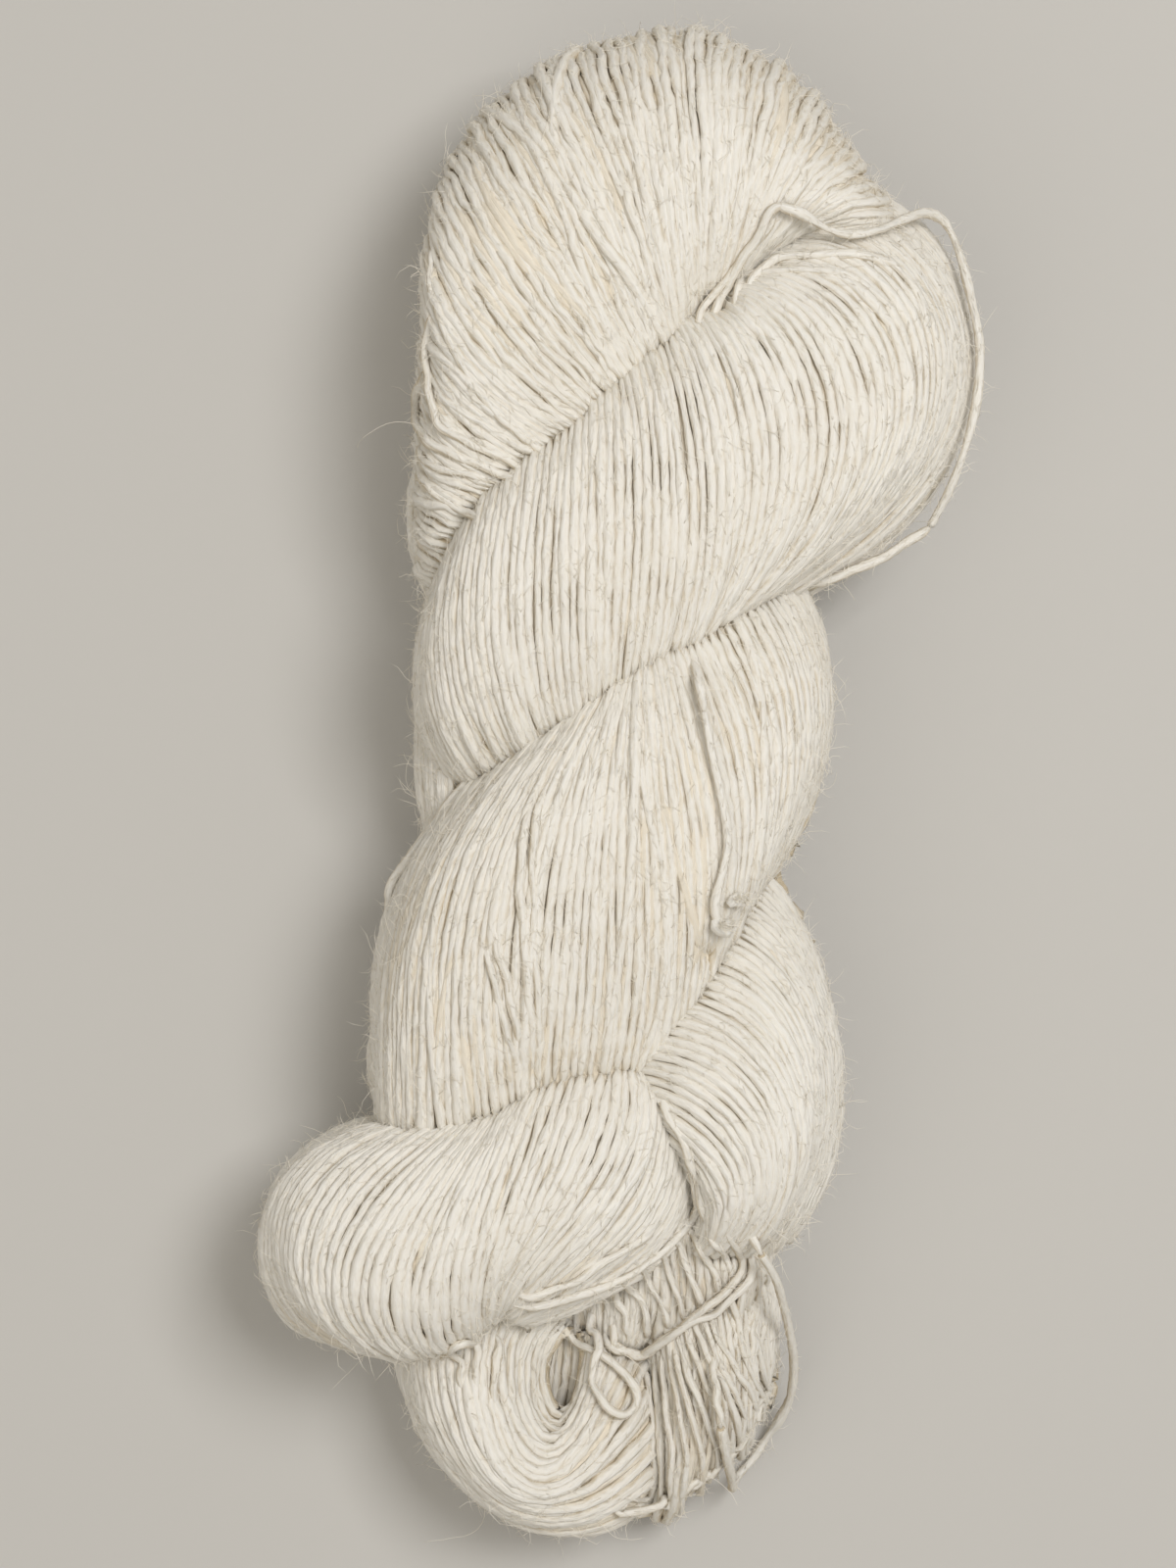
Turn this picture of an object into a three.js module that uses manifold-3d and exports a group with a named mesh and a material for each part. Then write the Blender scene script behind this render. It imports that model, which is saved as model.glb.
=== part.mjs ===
// A twisted hank of cream handspun wool yarn, lying on a flat surface.
// Millimetres, +X right, +Y towards the folded head, +Z up. The origin is under the middle of the hank.
import * as THREE from 'three';
import { mergeVertices } from 'three/addons/utils/BufferGeometryUtils.js';
import Module from 'manifold-3d';

// Driving sizes
const YARN_DIAMETER = 1.7;
const CORD_SIDES = 8;
const CORD_STEP = 2 * YARN_DIAMETER;
const RINGS_PER_ROW = 2;
const POINTS_ROUND_RING = 28;
const FLOOR_CUT_DEPTH = 20;
const FLOOR_CUT_REACH = 400;

// Each lobe is a pillow of yarn turns. A row is one turn, seen from above: it leaves the lobe's edge at a, runs
// through p and q, and dives under at b. az and bz are the heights of the lobe's edge at a and b, and top and low
// are the highest and lowest points of that turn.
const COLUMNS = ['ax', 'ay', 'px', 'py', 'qx', 'qy', 'bx', 'by', 'az', 'bz', 'top', 'low'];

const LOBES = {
  // the head, where the skein is folded and its turns fan out round the eye
  foldFan: [
    [-16, 28, -24, 30, -29, 33, -31, 36, 26, 22, 30, 18],
    [-15, 35, -22, 37, -28, 40, -31.5, 44, 30, 22, 39, 10],
    [-10, 43, -19, 46, -27, 50, -31, 58, 33, 23, 46, 4],
    [-4, 50, -15, 55, -26, 64.5, -29.5, 79, 34, 24, 50, 2],
    [1, 53, -12, 60, -24.5, 73, -28.5, 90, 34, 25, 52, 0],
    [5, 57, -6, 70, -16.5, 85.5, -24, 102, 34, 25, 53, -1],
    [8, 60, 1, 77, -7.5, 96, -13.5, 112.5, 34, 25, 53.5, -1],
    [11, 64, 8, 82, 5, 102, 2, 118, 34, 25, 54, -1],
    [13, 67, 13, 84, 13, 103, 13.5, 119, 34, 25, 54, -1],
    [15, 70, 18, 86, 22, 101, 26, 113.5, 34, 25, 54, -1],
    [17, 73, 23, 86, 29, 96, 34, 105.5, 34, 25, 53, 0],
    [18, 76, 27, 86, 34.5, 92, 39.5, 96.5, 33, 25, 50, 3],
    [19, 78, 31, 85, 41, 86, 47, 85, 31, 26, 44, 9],
    [20, 79, 34, 82, 45, 78, 51, 70, 27, 26, 31, 19],
  ],
  // the first crossing, which sweeps round the eye from the head and down to the left
  firstCrossing: [
    [24, 88, 46, 90, 56, 61.5, 25, 29, 28, 27, 32, 21],
    [22.5, 86.5, 44.5, 88, 54.5, 61.5, 23, 28.5, 30, 28, 37, 14],
    [20, 83, 41.5, 83.5, 50.3, 59.5, 20, 27.5, 33, 30, 46, 6],
    [18.5, 80, 38, 79, 45.5, 56.5, 18, 26.5, 35, 33, 51, 2],
    [16, 77, 32, 73, 38, 51.5, 15.5, 24.5, 37, 36, 54, 1],
    [12, 76, 22, 66, 25, 45, 12, 21.5, 38, 38, 55, 5],
    [7, 73, 12, 58, 13.3, 37.5, 8.5, 16.5, 38, 38, 55, 14],
    [1, 67, 4, 52, 3.5, 32, 1.5, 11.5, 38, 38, 55, 14],
    [-4.5, 61.5, -5, 46, -5.5, 27, -4, 8.5, 38, 38, 55, 14],
    [-10.5, 57, -12, 42, -12.5, 24.5, -8.5, 5.5, 37, 37, 54, 13],
    [-16, 52.5, -18.5, 38, -18.3, 20.5, -12.5, 2.5, 35, 35, 53, 11],
    [-21, 46.5, -24, 34, -23.7, 17.5, -17, 0.5, 33, 33, 50, 8],
    [-25, 40, -28, 30, -28.4, 14.5, -20.5, -1, 29, 30, 44, 10],
    [-27, 35, -30.2, 27, -30.7, 12, -23, -1, 26, 27, 33, 20],
  ],
  // the second crossing, of the other half of the skein
  secondCrossing: [
    [27, 36, 33.5, 21, 32, 3, 21, -19, 28, 26, 32, 21],
    [22.5, 35, 31.5, 19, 30, 0, 19, -21, 31, 28, 40, 16],
    [17, 33, 26.5, 17, 26.5, -2.5, 17, -25, 34, 32, 48, 12],
    [11, 30, 19, 13.5, 21.5, -5, 15.5, -29, 37, 36, 52, 12],
    [8, 27.5, 14, 10.5, 17, -8, 13, -34, 38, 38, 54, 12],
    [6, 26, 9.5, 8, 12, -12, 9.5, -40, 38, 38, 55, 12],
    [4.5, 24.5, 4.3, 5, 4.8, -16, 2, -47, 38, 38, 55, 12],
    [3, 23, -0.5, 3.5, -2.5, -18.5, -5, -49.5, 38, 38, 55, 12],
    [1.5, 21.5, -5.5, 1.5, -9.5, -21, -11.5, -51, 38, 38, 55, 12],
    [-0.5, 19.5, -11, -1, -16.8, -23.5, -15, -52.5, 38, 38, 55, 12],
    [-3, 17, -17, -4, -23.8, -26, -22.5, -55, 37, 36, 54, 12],
    [-7, 14, -23.5, -7.5, -29.5, -28.5, -30, -57, 35, 34, 51, 11],
    [-13, 10.5, -28.5, -11.5, -33.3, -32, -33.5, -57, 32, 31, 47, 10],
    [-20, 5, -32.5, -15.5, -36, -35.5, -35.8, -57, 29, 29, 41, 12],
    [-26.5, -2, -36, -21, -37.8, -38, -37.3, -56, 27, 26, 32, 20],
  ],
  // the third crossing, which comes back at the right
  thirdCrossing: [
    [20, -10, 31, -25, 35.5, -48, 27, -71, 28, 26, 32, 20],
    [17, -15, 28.5, -25, 34, -47, 25, -72, 31, 28, 38, 14],
    [12, -22, 25, -28, 31.5, -47, 23, -73, 33, 29, 45, 10],
    [7, -30, 21, -33, 29, -50, 21, -73, 34, 30, 49, 10],
    [2, -38, 16, -40, 25, -54, 18, -73, 35, 31, 51, 10],
    [1, -44, 12, -47, 20, -58, 15, -73, 35, 31, 50, 10],
    [2, -49, 9, -53, 15, -62, 12, -73, 34, 31, 47, 12],
    [3, -54, 7, -58, 11, -65, 9, -73, 31, 30, 32, 28],
  ],
  // the end loop that is opened and wraps the neck, bulging out to the left
  neckWrap: [
    [-31, -52, -52, -60.5, -54.3, -78, -40, -87, 28, 27, 33, 20],
    [-28, -50.5, -49.5, -59.5, -52, -77, -38, -88, 29, 28, 38, 14],
    [-23, -49, -43, -60.5, -47.5, -76.5, -35.5, -88.5, 31, 30, 46, 7],
    [-19, -47.5, -34, -61, -40.5, -75.5, -32.5, -88.5, 33, 32, 51, 4],
    [-15.5, -45.5, -25, -60, -30, -74.5, -28, -87.5, 35, 34, 53, 8],
    [-12.5, -43, -19.3, -58.5, -22.8, -72.5, -22.5, -85.5, 37, 35, 54, 12],
    [-9, -41, -14, -57, -18.3, -70.5, -20.3, -83.5, 38, 35, 54, 14],
    [-4.5, -39.5, -8.5, -56, -14.8, -69.5, -19.2, -82.5, 38, 35, 54, 14],
    [0, -39, -2, -56, -11, -69.5, -18.3, -82, 38, 35, 53, 15],
    [3.5, -40, 4, -56.5, -5.5, -70.5, -17.3, -82, 38, 34, 50, 18],
    [6.5, -44, 9, -59.5, 0.5, -72, -16, -82.3, 36, 34, 44, 24],
    [8.5, -50, 12.3, -63, 5, -74.5, -14, -82.8, 34, 33, 36, 31],
  ],
  // the other end loop, drawn through the wrap and curled round a small eye
  endLoop: [
    [-7, -84, -11, -93, -7.8, -98.3, -4, -85, 24, 24, 25, 21],
    [-11, -82.5, -15.3, -93.5, -10, -103, 0, -86.5, 27, 24, 32, 9],
    [-15, -81, -19.5, -94, -12, -107.5, 5, -90, 27, 22, 36, 2],
    [-20, -80.5, -23.5, -95, -14, -110, 9, -97, 26, 18, 36, 0],
    [-25, -81, -28, -96.5, -15.5, -113, 10, -103.5, 24, 16, 32, -1],
    [-28, -82.5, -31, -99, -16, -115.5, 9, -109.5, 21, 15, 25, 5],
    [-30, -84, -32, -100, -15, -117, 8, -112, 18, 15, 17, 14],
  ],
  // the loops that hang out of the wrap beside it
  tailLoops: [
    [0, -74, 3, -84, 5.5, -101, 3.5, -114, 22, 8, 20, 9],
    [2, -71, 7, -85, 8.5, -103, 7.5, -118, 27, 6, 28, 2],
    [6, -68, 12, -84, 13, -100, 12.5, -114, 29, 6, 33, -1],
    [12, -66, 16, -82, 17.5, -97, 17.5, -110, 29, 6, 34, -1],
    [17, -66, 20.5, -80, 22, -94, 21.5, -104.5, 27, 7, 30, 1],
    [21, -69, 24.5, -78, 25.5, -89, 24.5, -98.5, 22, 9, 20, 9],
  ],
  // behind the first crossing
  firstBack: [
    [-27, 60, -31, 50, -31.2, 38, -27, 28, 20, 20, 26, 14],
    [-20, 62, -22, 50, -22, 36, -20, 22, 20, 20, 34, 3],
    [-10, 59, -10, 45, -10, 30, -10, 14, 18, 18, 34, -1],
    [0, 54, 0, 40, 0, 24, 0, 8, 17, 17, 34, -2],
    [10, 48, 10, 34, 10, 17, 10, 1, 17, 17, 34, -2],
    [20, 41, 21, 28, 21, 11, 20, -6, 18, 18, 34, -1],
    [27, 34, 29, 24, 29, 8, 25, -11, 22, 22, 34, 5],
    [29, 31, 32, 21, 32, 5, 27, -9, 26, 26, 27, 25],
  ],
  // behind the second crossing
  secondBack: [
    [-27, 28, -30, 18, -30.5, 2, -29, -9, 22, 22, 27, 17],
    [-22, 28, -24, 14, -25, -2, -22, -18, 20, 20, 34, 4],
    [-12, 22, -14, 6, -14, -10, -12, -28, 18, 18, 34, -1],
    [-2, 14, -3, -3, -3, -20, -2, -38, 17, 17, 34, -2],
    [8, 5, 8, -12, 8, -30, 8, -47, 17, 17, 34, -2],
    [17, -5, 18, -20, 18, -38, 17, -56, 18, 18, 34, -1],
    [24, -12, 27, -27, 28, -44, 25, -63, 21, 21, 34, 4],
    [25, -15, 32, -30, 34.5, -47, 29, -66, 26, 26, 27, 25],
  ],
  // the neck, which the wrap holds
  neck: [
    [-36, -28, -37.5, -38, -37, -50, -33, -62, 23, 23, 27, 19],
    [-30, -25, -31, -40, -30, -56, -26, -70, 21, 21, 34, 6],
    [-20, -32, -21, -48, -20, -68, -17, -91, 18, 16, 24, 4],
    [-8, -40, -8, -58, -8, -80, -8.5, -102, 17, 15, 22, 3],
    [2, -48, 4, -62, 5, -76, 3.5, -90, 20, 18, 33, 3],
    [10, -54, 13, -67, 14, -78, 12, -90, 20, 18, 36, 3],
    [17, -58, 21, -68, 22, -77, 20, -84, 22, 18, 34, 6],
    [20, -60, 24, -68, 24.5, -74, 22, -80, 22, 20, 22, 18],
  ],
  // the wrap's half that runs behind the neck
  wrapBack: [
    [-44, -57, -51, -64, -51, -76, -43, -85, 14, 14, 20, 10],
    [-36, -55, -39, -64, -39, -77, -35, -87, 9, 9, 18, -1],
    [-22, -56, -24, -65, -24, -77, -21, -86, 7, 7, 16, -1.5],
    [-6, -58, -7, -66, -6, -77, -4, -85, 7, 7, 16, -1.5],
    [10, -60, 10, -68, 11, -77, 12, -83, 8, 8, 18, -1],
    [22, -60, 23, -66, 24, -72, 22, -77, 12, 12, 22, 1],
    [28, -60, 30.5, -63, 30.5, -67, 27, -70, 18, 18, 22, 14],
  ],
};

// Turns that have slipped off the hank and stand clear of it. Each row is a point of the strand's middle: x, y, z.
const LOOSE_STRANDS = {
  // off the head at the right, over the edge and back under the first crossing
  slack_turn_top: [
    [24.5, 88, 54.6],
    [28.2, 87, 52.8],
    [31.8, 85.2, 50.6],
    [35.6, 84.4, 49.8],
    [40, 85.4, 47.8],
    [44.5, 87.8, 43],
    [48.2, 89.4, 38],
    [51.4, 88, 35.4],
    [53.6, 82.4, 36.6],
    [55, 76, 38],
    [56.2, 70, 38],
    [56.3, 65, 38],
    [55.6, 59, 38],
    [53.8, 52, 36.8],
    [51.8, 46.5, 34],
    [49.4, 41.6, 30.5],
  ],
  // out of the wrap, down beside the tail and back over its tip
  slack_turn_side: [
    [22.4, -71, 43],
    [24.8, -75.4, 38.5],
    [26.2, -80, 32.5],
    [27.4, -84.6, 26],
    [28.4, -89.2, 20],
    [28.8, -94, 14],
    [28.4, -98.6, 9],
    [27, -102.6, 5],
    [25, -106, 2.4],
    [22.8, -109.6, 1.6],
    [20.4, -112, 3],
    [19.4, -113, 7],
    [19, -112, 13],
    [18.4, -108.4, 22],
    [17.4, -104, 30.5],
    [16.4, -98.8, 36],
  ],
  // the yarn's end, lying over the second crossing
  loose_end: [
    [13.2, 12, 55.2],
    [13.9, 8, 55.3],
    [14.7, 4, 55.2],
    [15.6, 0, 55],
    [16.4, -4, 54.7],
    [16.7, -8, 54.3],
    [16, -12, 53.9],
    [15, -16, 53.2],
    [15, -18.6, 52.4],
    [16.2, -20.6, 50.8],
  ],
};

// A smooth row between the rows of a table, by a Catmull-Rom spline over the row number.
function rowAt(rows, place) {
  const last = rows.length - 1;
  const i = Math.min(Math.floor(place), last - 1);
  const t = place - i;
  const row = {};
  COLUMNS.forEach((name, c) => {
    const p1 = rows[i][c];
    const p2 = rows[i + 1][c];
    const p0 = i > 0 ? rows[i - 1][c] : 2 * p1 - p2;
    const p3 = i + 1 < last ? rows[i + 2][c] : 2 * p2 - p1;
    const bend = (2 * p0 - 5 * p1 + 4 * p2 - p3) * t * t + (3 * p1 - p0 - 3 * p2 + p3) * t ** 3;
    row[name] = 0.5 * (2 * p1 + (p2 - p0) * t + bend);
  });
  return row;
}

// A point of one turn: over the top from a to b for the first half of the way round, and back underneath.
function turnPoint(row, angle) {
  const w = (1 - Math.cos(angle)) / 2;
  const side = Math.sin(angle);
  const fromA = -4.5 * (w - 1 / 3) * (w - 2 / 3) * (w - 1);
  const fromP = 13.5 * w * (w - 2 / 3) * (w - 1);
  const fromQ = -13.5 * w * (w - 1 / 3) * (w - 1);
  const fromB = 4.5 * w * (w - 1 / 3) * (w - 2 / 3);
  const edge = row.az + (row.bz - row.az) * w;
  const reach = side > 0 ? Math.max(row.top - edge, 0) : Math.max(edge - row.low, 0);
  return [
    fromA * row.ax + fromP * row.px + fromQ * row.qx + fromB * row.bx,
    fromA * row.ay + fromP * row.py + fromQ * row.qy + fromB * row.by,
    edge + reach * side,
  ];
}

// The closed skin of a lobe: rings of points, one for each turn, with the first and last ring sewn shut.
function lobeGeometry(rows) {
  const rings = (rows.length - 1) * RINGS_PER_ROW + 1;
  const round = POINTS_ROUND_RING;
  const positions = [];
  for (let r = 0; r < rings; r += 1) {
    const row = rowAt(rows, r / RINGS_PER_ROW);
    for (let k = 0; k < round; k += 1) {
      positions.push(...turnPoint(row, (2 * Math.PI * k) / round));
    }
  }
  const faces = [];
  for (let r = 0; r + 1 < rings; r += 1) {
    for (let k = 0; k < round; k += 1) {
      const next = (k + 1) % round;
      const [a, b, c, d] = [r * round + k, r * round + next, (r + 1) * round + next, (r + 1) * round + k];
      faces.push(a, c, b, a, d, c);
    }
  }
  const closeEnd = (first, turned) => {
    for (let k = 0; k < round / 2; k += 1) {
      const [a, b] = [first + k, first + k + 1];
      const [c, d] = [first + round - k - 1, first + ((round - k) % round)];
      const pair = [a, c, b, a, d, c];
      const flat = turned ? pair.reverse() : pair;
      for (let i = 0; i < 6; i += 3) {
        if (new Set(flat.slice(i, i + 3)).size === 3) faces.push(...flat.slice(i, i + 3));
      }
    }
  };
  closeEnd(0, true);
  closeEnd((rings - 1) * round, false);
  const geometry = new THREE.BufferGeometry();
  geometry.setAttribute('position', new THREE.Float32BufferAttribute(positions, 3));
  geometry.setIndex(faces);
  return geometry;
}

const wasm = await Module();
wasm.setup();

function solidOf(geometry) {
  const bare = geometry.clone();
  bare.deleteAttribute('normal');
  bare.deleteAttribute('uv');
  const merged = mergeVertices(bare, 1e-4);
  const solid = new wasm.Manifold(new wasm.Mesh({
    numProp: 3,
    vertProperties: new Float32Array(merged.attributes.position.array),
    triVerts: new Uint32Array(merged.index.array),
  }));
  return solid;
}

function geometryOf(solid) {
  const mesh = solid.getMesh();
  const geometry = new THREE.BufferGeometry();
  geometry.setAttribute('position', new THREE.Float32BufferAttribute(mesh.vertProperties, 3));
  geometry.setIndex([...mesh.triVerts]);
  geometry.computeVertexNormals();
  return geometry;
}

// A lobe's solid. Rows that run the other way round give a skin that faces inward, so it is turned.
function lobeSolid(rows) {
  const geometry = lobeGeometry(rows);
  const solid = solidOf(geometry);
  if (solid.volume() > 0) return solid;
  geometry.setIndex([...geometry.index.array].reverse());
  return solidOf(geometry);
}

// The hank: all lobes joined, and cut flat where it rests.
function hankGeometry() {
  const lobes = Object.values(LOBES).map((rows) => lobeSolid(rows));
  const joined = lobes.reduce((whole, lobe) => whole.add(lobe));
  const below = new THREE.BoxGeometry(FLOOR_CUT_REACH, FLOOR_CUT_REACH, FLOOR_CUT_DEPTH);
  below.translate(0, 0, -FLOOR_CUT_DEPTH / 2);
  return geometryOf(joined.subtract(solidOf(below)));
}

// A round strand swept along its middle line.
function strandGeometry(points) {
  const path = new THREE.CatmullRomCurve3(points.map((point) => new THREE.Vector3(...point)));
  const section = new THREE.Shape();
  for (let k = 0; k < CORD_SIDES; k += 1) {
    const angle = (2 * Math.PI * k) / CORD_SIDES;
    const x = (YARN_DIAMETER / 2) * Math.cos(angle);
    const y = (YARN_DIAMETER / 2) * Math.sin(angle);
    if (k === 0) section.moveTo(x, y);
    else section.lineTo(x, y);
  }
  section.closePath();
  const steps = Math.ceil(path.getLength() / CORD_STEP);
  const swept = new THREE.ExtrudeGeometry(section, { extrudePath: path, steps, bevelEnabled: false });
  return geometryOf(solidOf(swept));
}

const wool = new THREE.MeshStandardMaterial({ color: 0xe9e2d3, roughness: 0.95, metalness: 0 });

function addPiece(parent, name, geometry) {
  const piece = new THREE.Mesh(geometry, wool);
  piece.name = name;
  parent.add(piece);
}

const yarn = new THREE.Group();
addPiece(yarn, 'hank', hankGeometry());
for (const [name, points] of Object.entries(LOOSE_STRANDS)) {
  addPiece(yarn, name, strandGeometry(points));
}

export default yarn;
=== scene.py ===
"""A twisted hank of cream handspun wool yarn, wound strand by strand over the form of its solid.

The tables are in millimetres in the row frame: +X right, +Y towards the folded head and +Z up, with the
surface it lies on at 0. Every mesh is written in metres.
"""

import math

import bpy
import numpy as np
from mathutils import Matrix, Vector
from mathutils.bvhtree import BVHTree

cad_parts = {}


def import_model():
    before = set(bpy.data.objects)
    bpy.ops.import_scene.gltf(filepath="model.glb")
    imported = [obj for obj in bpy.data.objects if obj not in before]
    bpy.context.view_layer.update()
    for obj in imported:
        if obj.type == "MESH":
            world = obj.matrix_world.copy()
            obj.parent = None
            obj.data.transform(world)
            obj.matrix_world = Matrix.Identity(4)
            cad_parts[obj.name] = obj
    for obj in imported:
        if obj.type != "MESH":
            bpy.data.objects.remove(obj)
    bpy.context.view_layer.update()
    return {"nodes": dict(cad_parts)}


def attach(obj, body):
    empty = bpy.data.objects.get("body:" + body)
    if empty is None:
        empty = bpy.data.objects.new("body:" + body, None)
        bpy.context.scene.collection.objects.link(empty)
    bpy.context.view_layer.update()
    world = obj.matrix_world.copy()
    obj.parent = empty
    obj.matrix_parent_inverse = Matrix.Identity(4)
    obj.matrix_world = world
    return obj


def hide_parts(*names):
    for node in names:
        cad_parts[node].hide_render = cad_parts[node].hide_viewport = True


MM = 0.001
SEED = 20

# The yarn, a thick-and-thin single: its own diameter, the radii of strands laid over the hank, of those
# that are spun finer and of those that stand clear, the least and greatest radius of a wound turn, and
# how lumpy a strand is, as a share of its radius
YARN_DIAMETER = 1.7
YARN_GIRTH = math.pi * YARN_DIAMETER
STRAND_RADIUS = 0.7
FINE_RADIUS = 0.57
SLACK_RADIUS = 0.72
THINNEST, THICKEST = 0.5, 1.1
LUMPINESS = 0.055

# How turns lie on the hank: how far a middle may stand off the solid, the shortest stretch that is
# drawn, how much darker and warmer a strand's tone is painted for each millimetre of depth (painted
# shade), the share of its radius at which it rests on the surface, and the points of a whole turn
# before it is cut into even steps
STAND_OFF = 0.7
SHORTEST_STRETCH = 11
PAINTED_SHADE_BY_DEPTH = 0.15
RESTING_HEIGHT = 0.95
TURN_SAMPLES = 256

# Where a strand's outward direction would turn further than this from ring to ring, it is kept instead.
# It is a cosine.
LEAST_AGREEMENT = -0.5

# Its turns lie side by side in an outer layer over a deeper one. For each layer: the gap between turns
# as a share of the lobe's, how far the turns' middles lie under the solid's surface, how deep a turn
# may go before it is left out, its sides, and the step between its rings
LAYERS = {
    "turns": {"spread": 1, "sink": 0.6, "hidden": 2.6, "sides": 6, "step": 1.8},
    "deep_turns": {"spread": 1.2, "sink": 1.35, "hidden": 3.2, "sides": 4, "step": 3.0},
}

# Each row is one turn of yarn, seen from above: it leaves the lobe's edge at a, runs through p and q,
# and goes under at b. az and bz are the heights of the edge there; top and low are the turn's highest
# and lowest points.
COLUMNS = ("ax", "ay", "px", "py", "qx", "qy", "bx", "by", "az", "bz", "top", "low")

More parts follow.
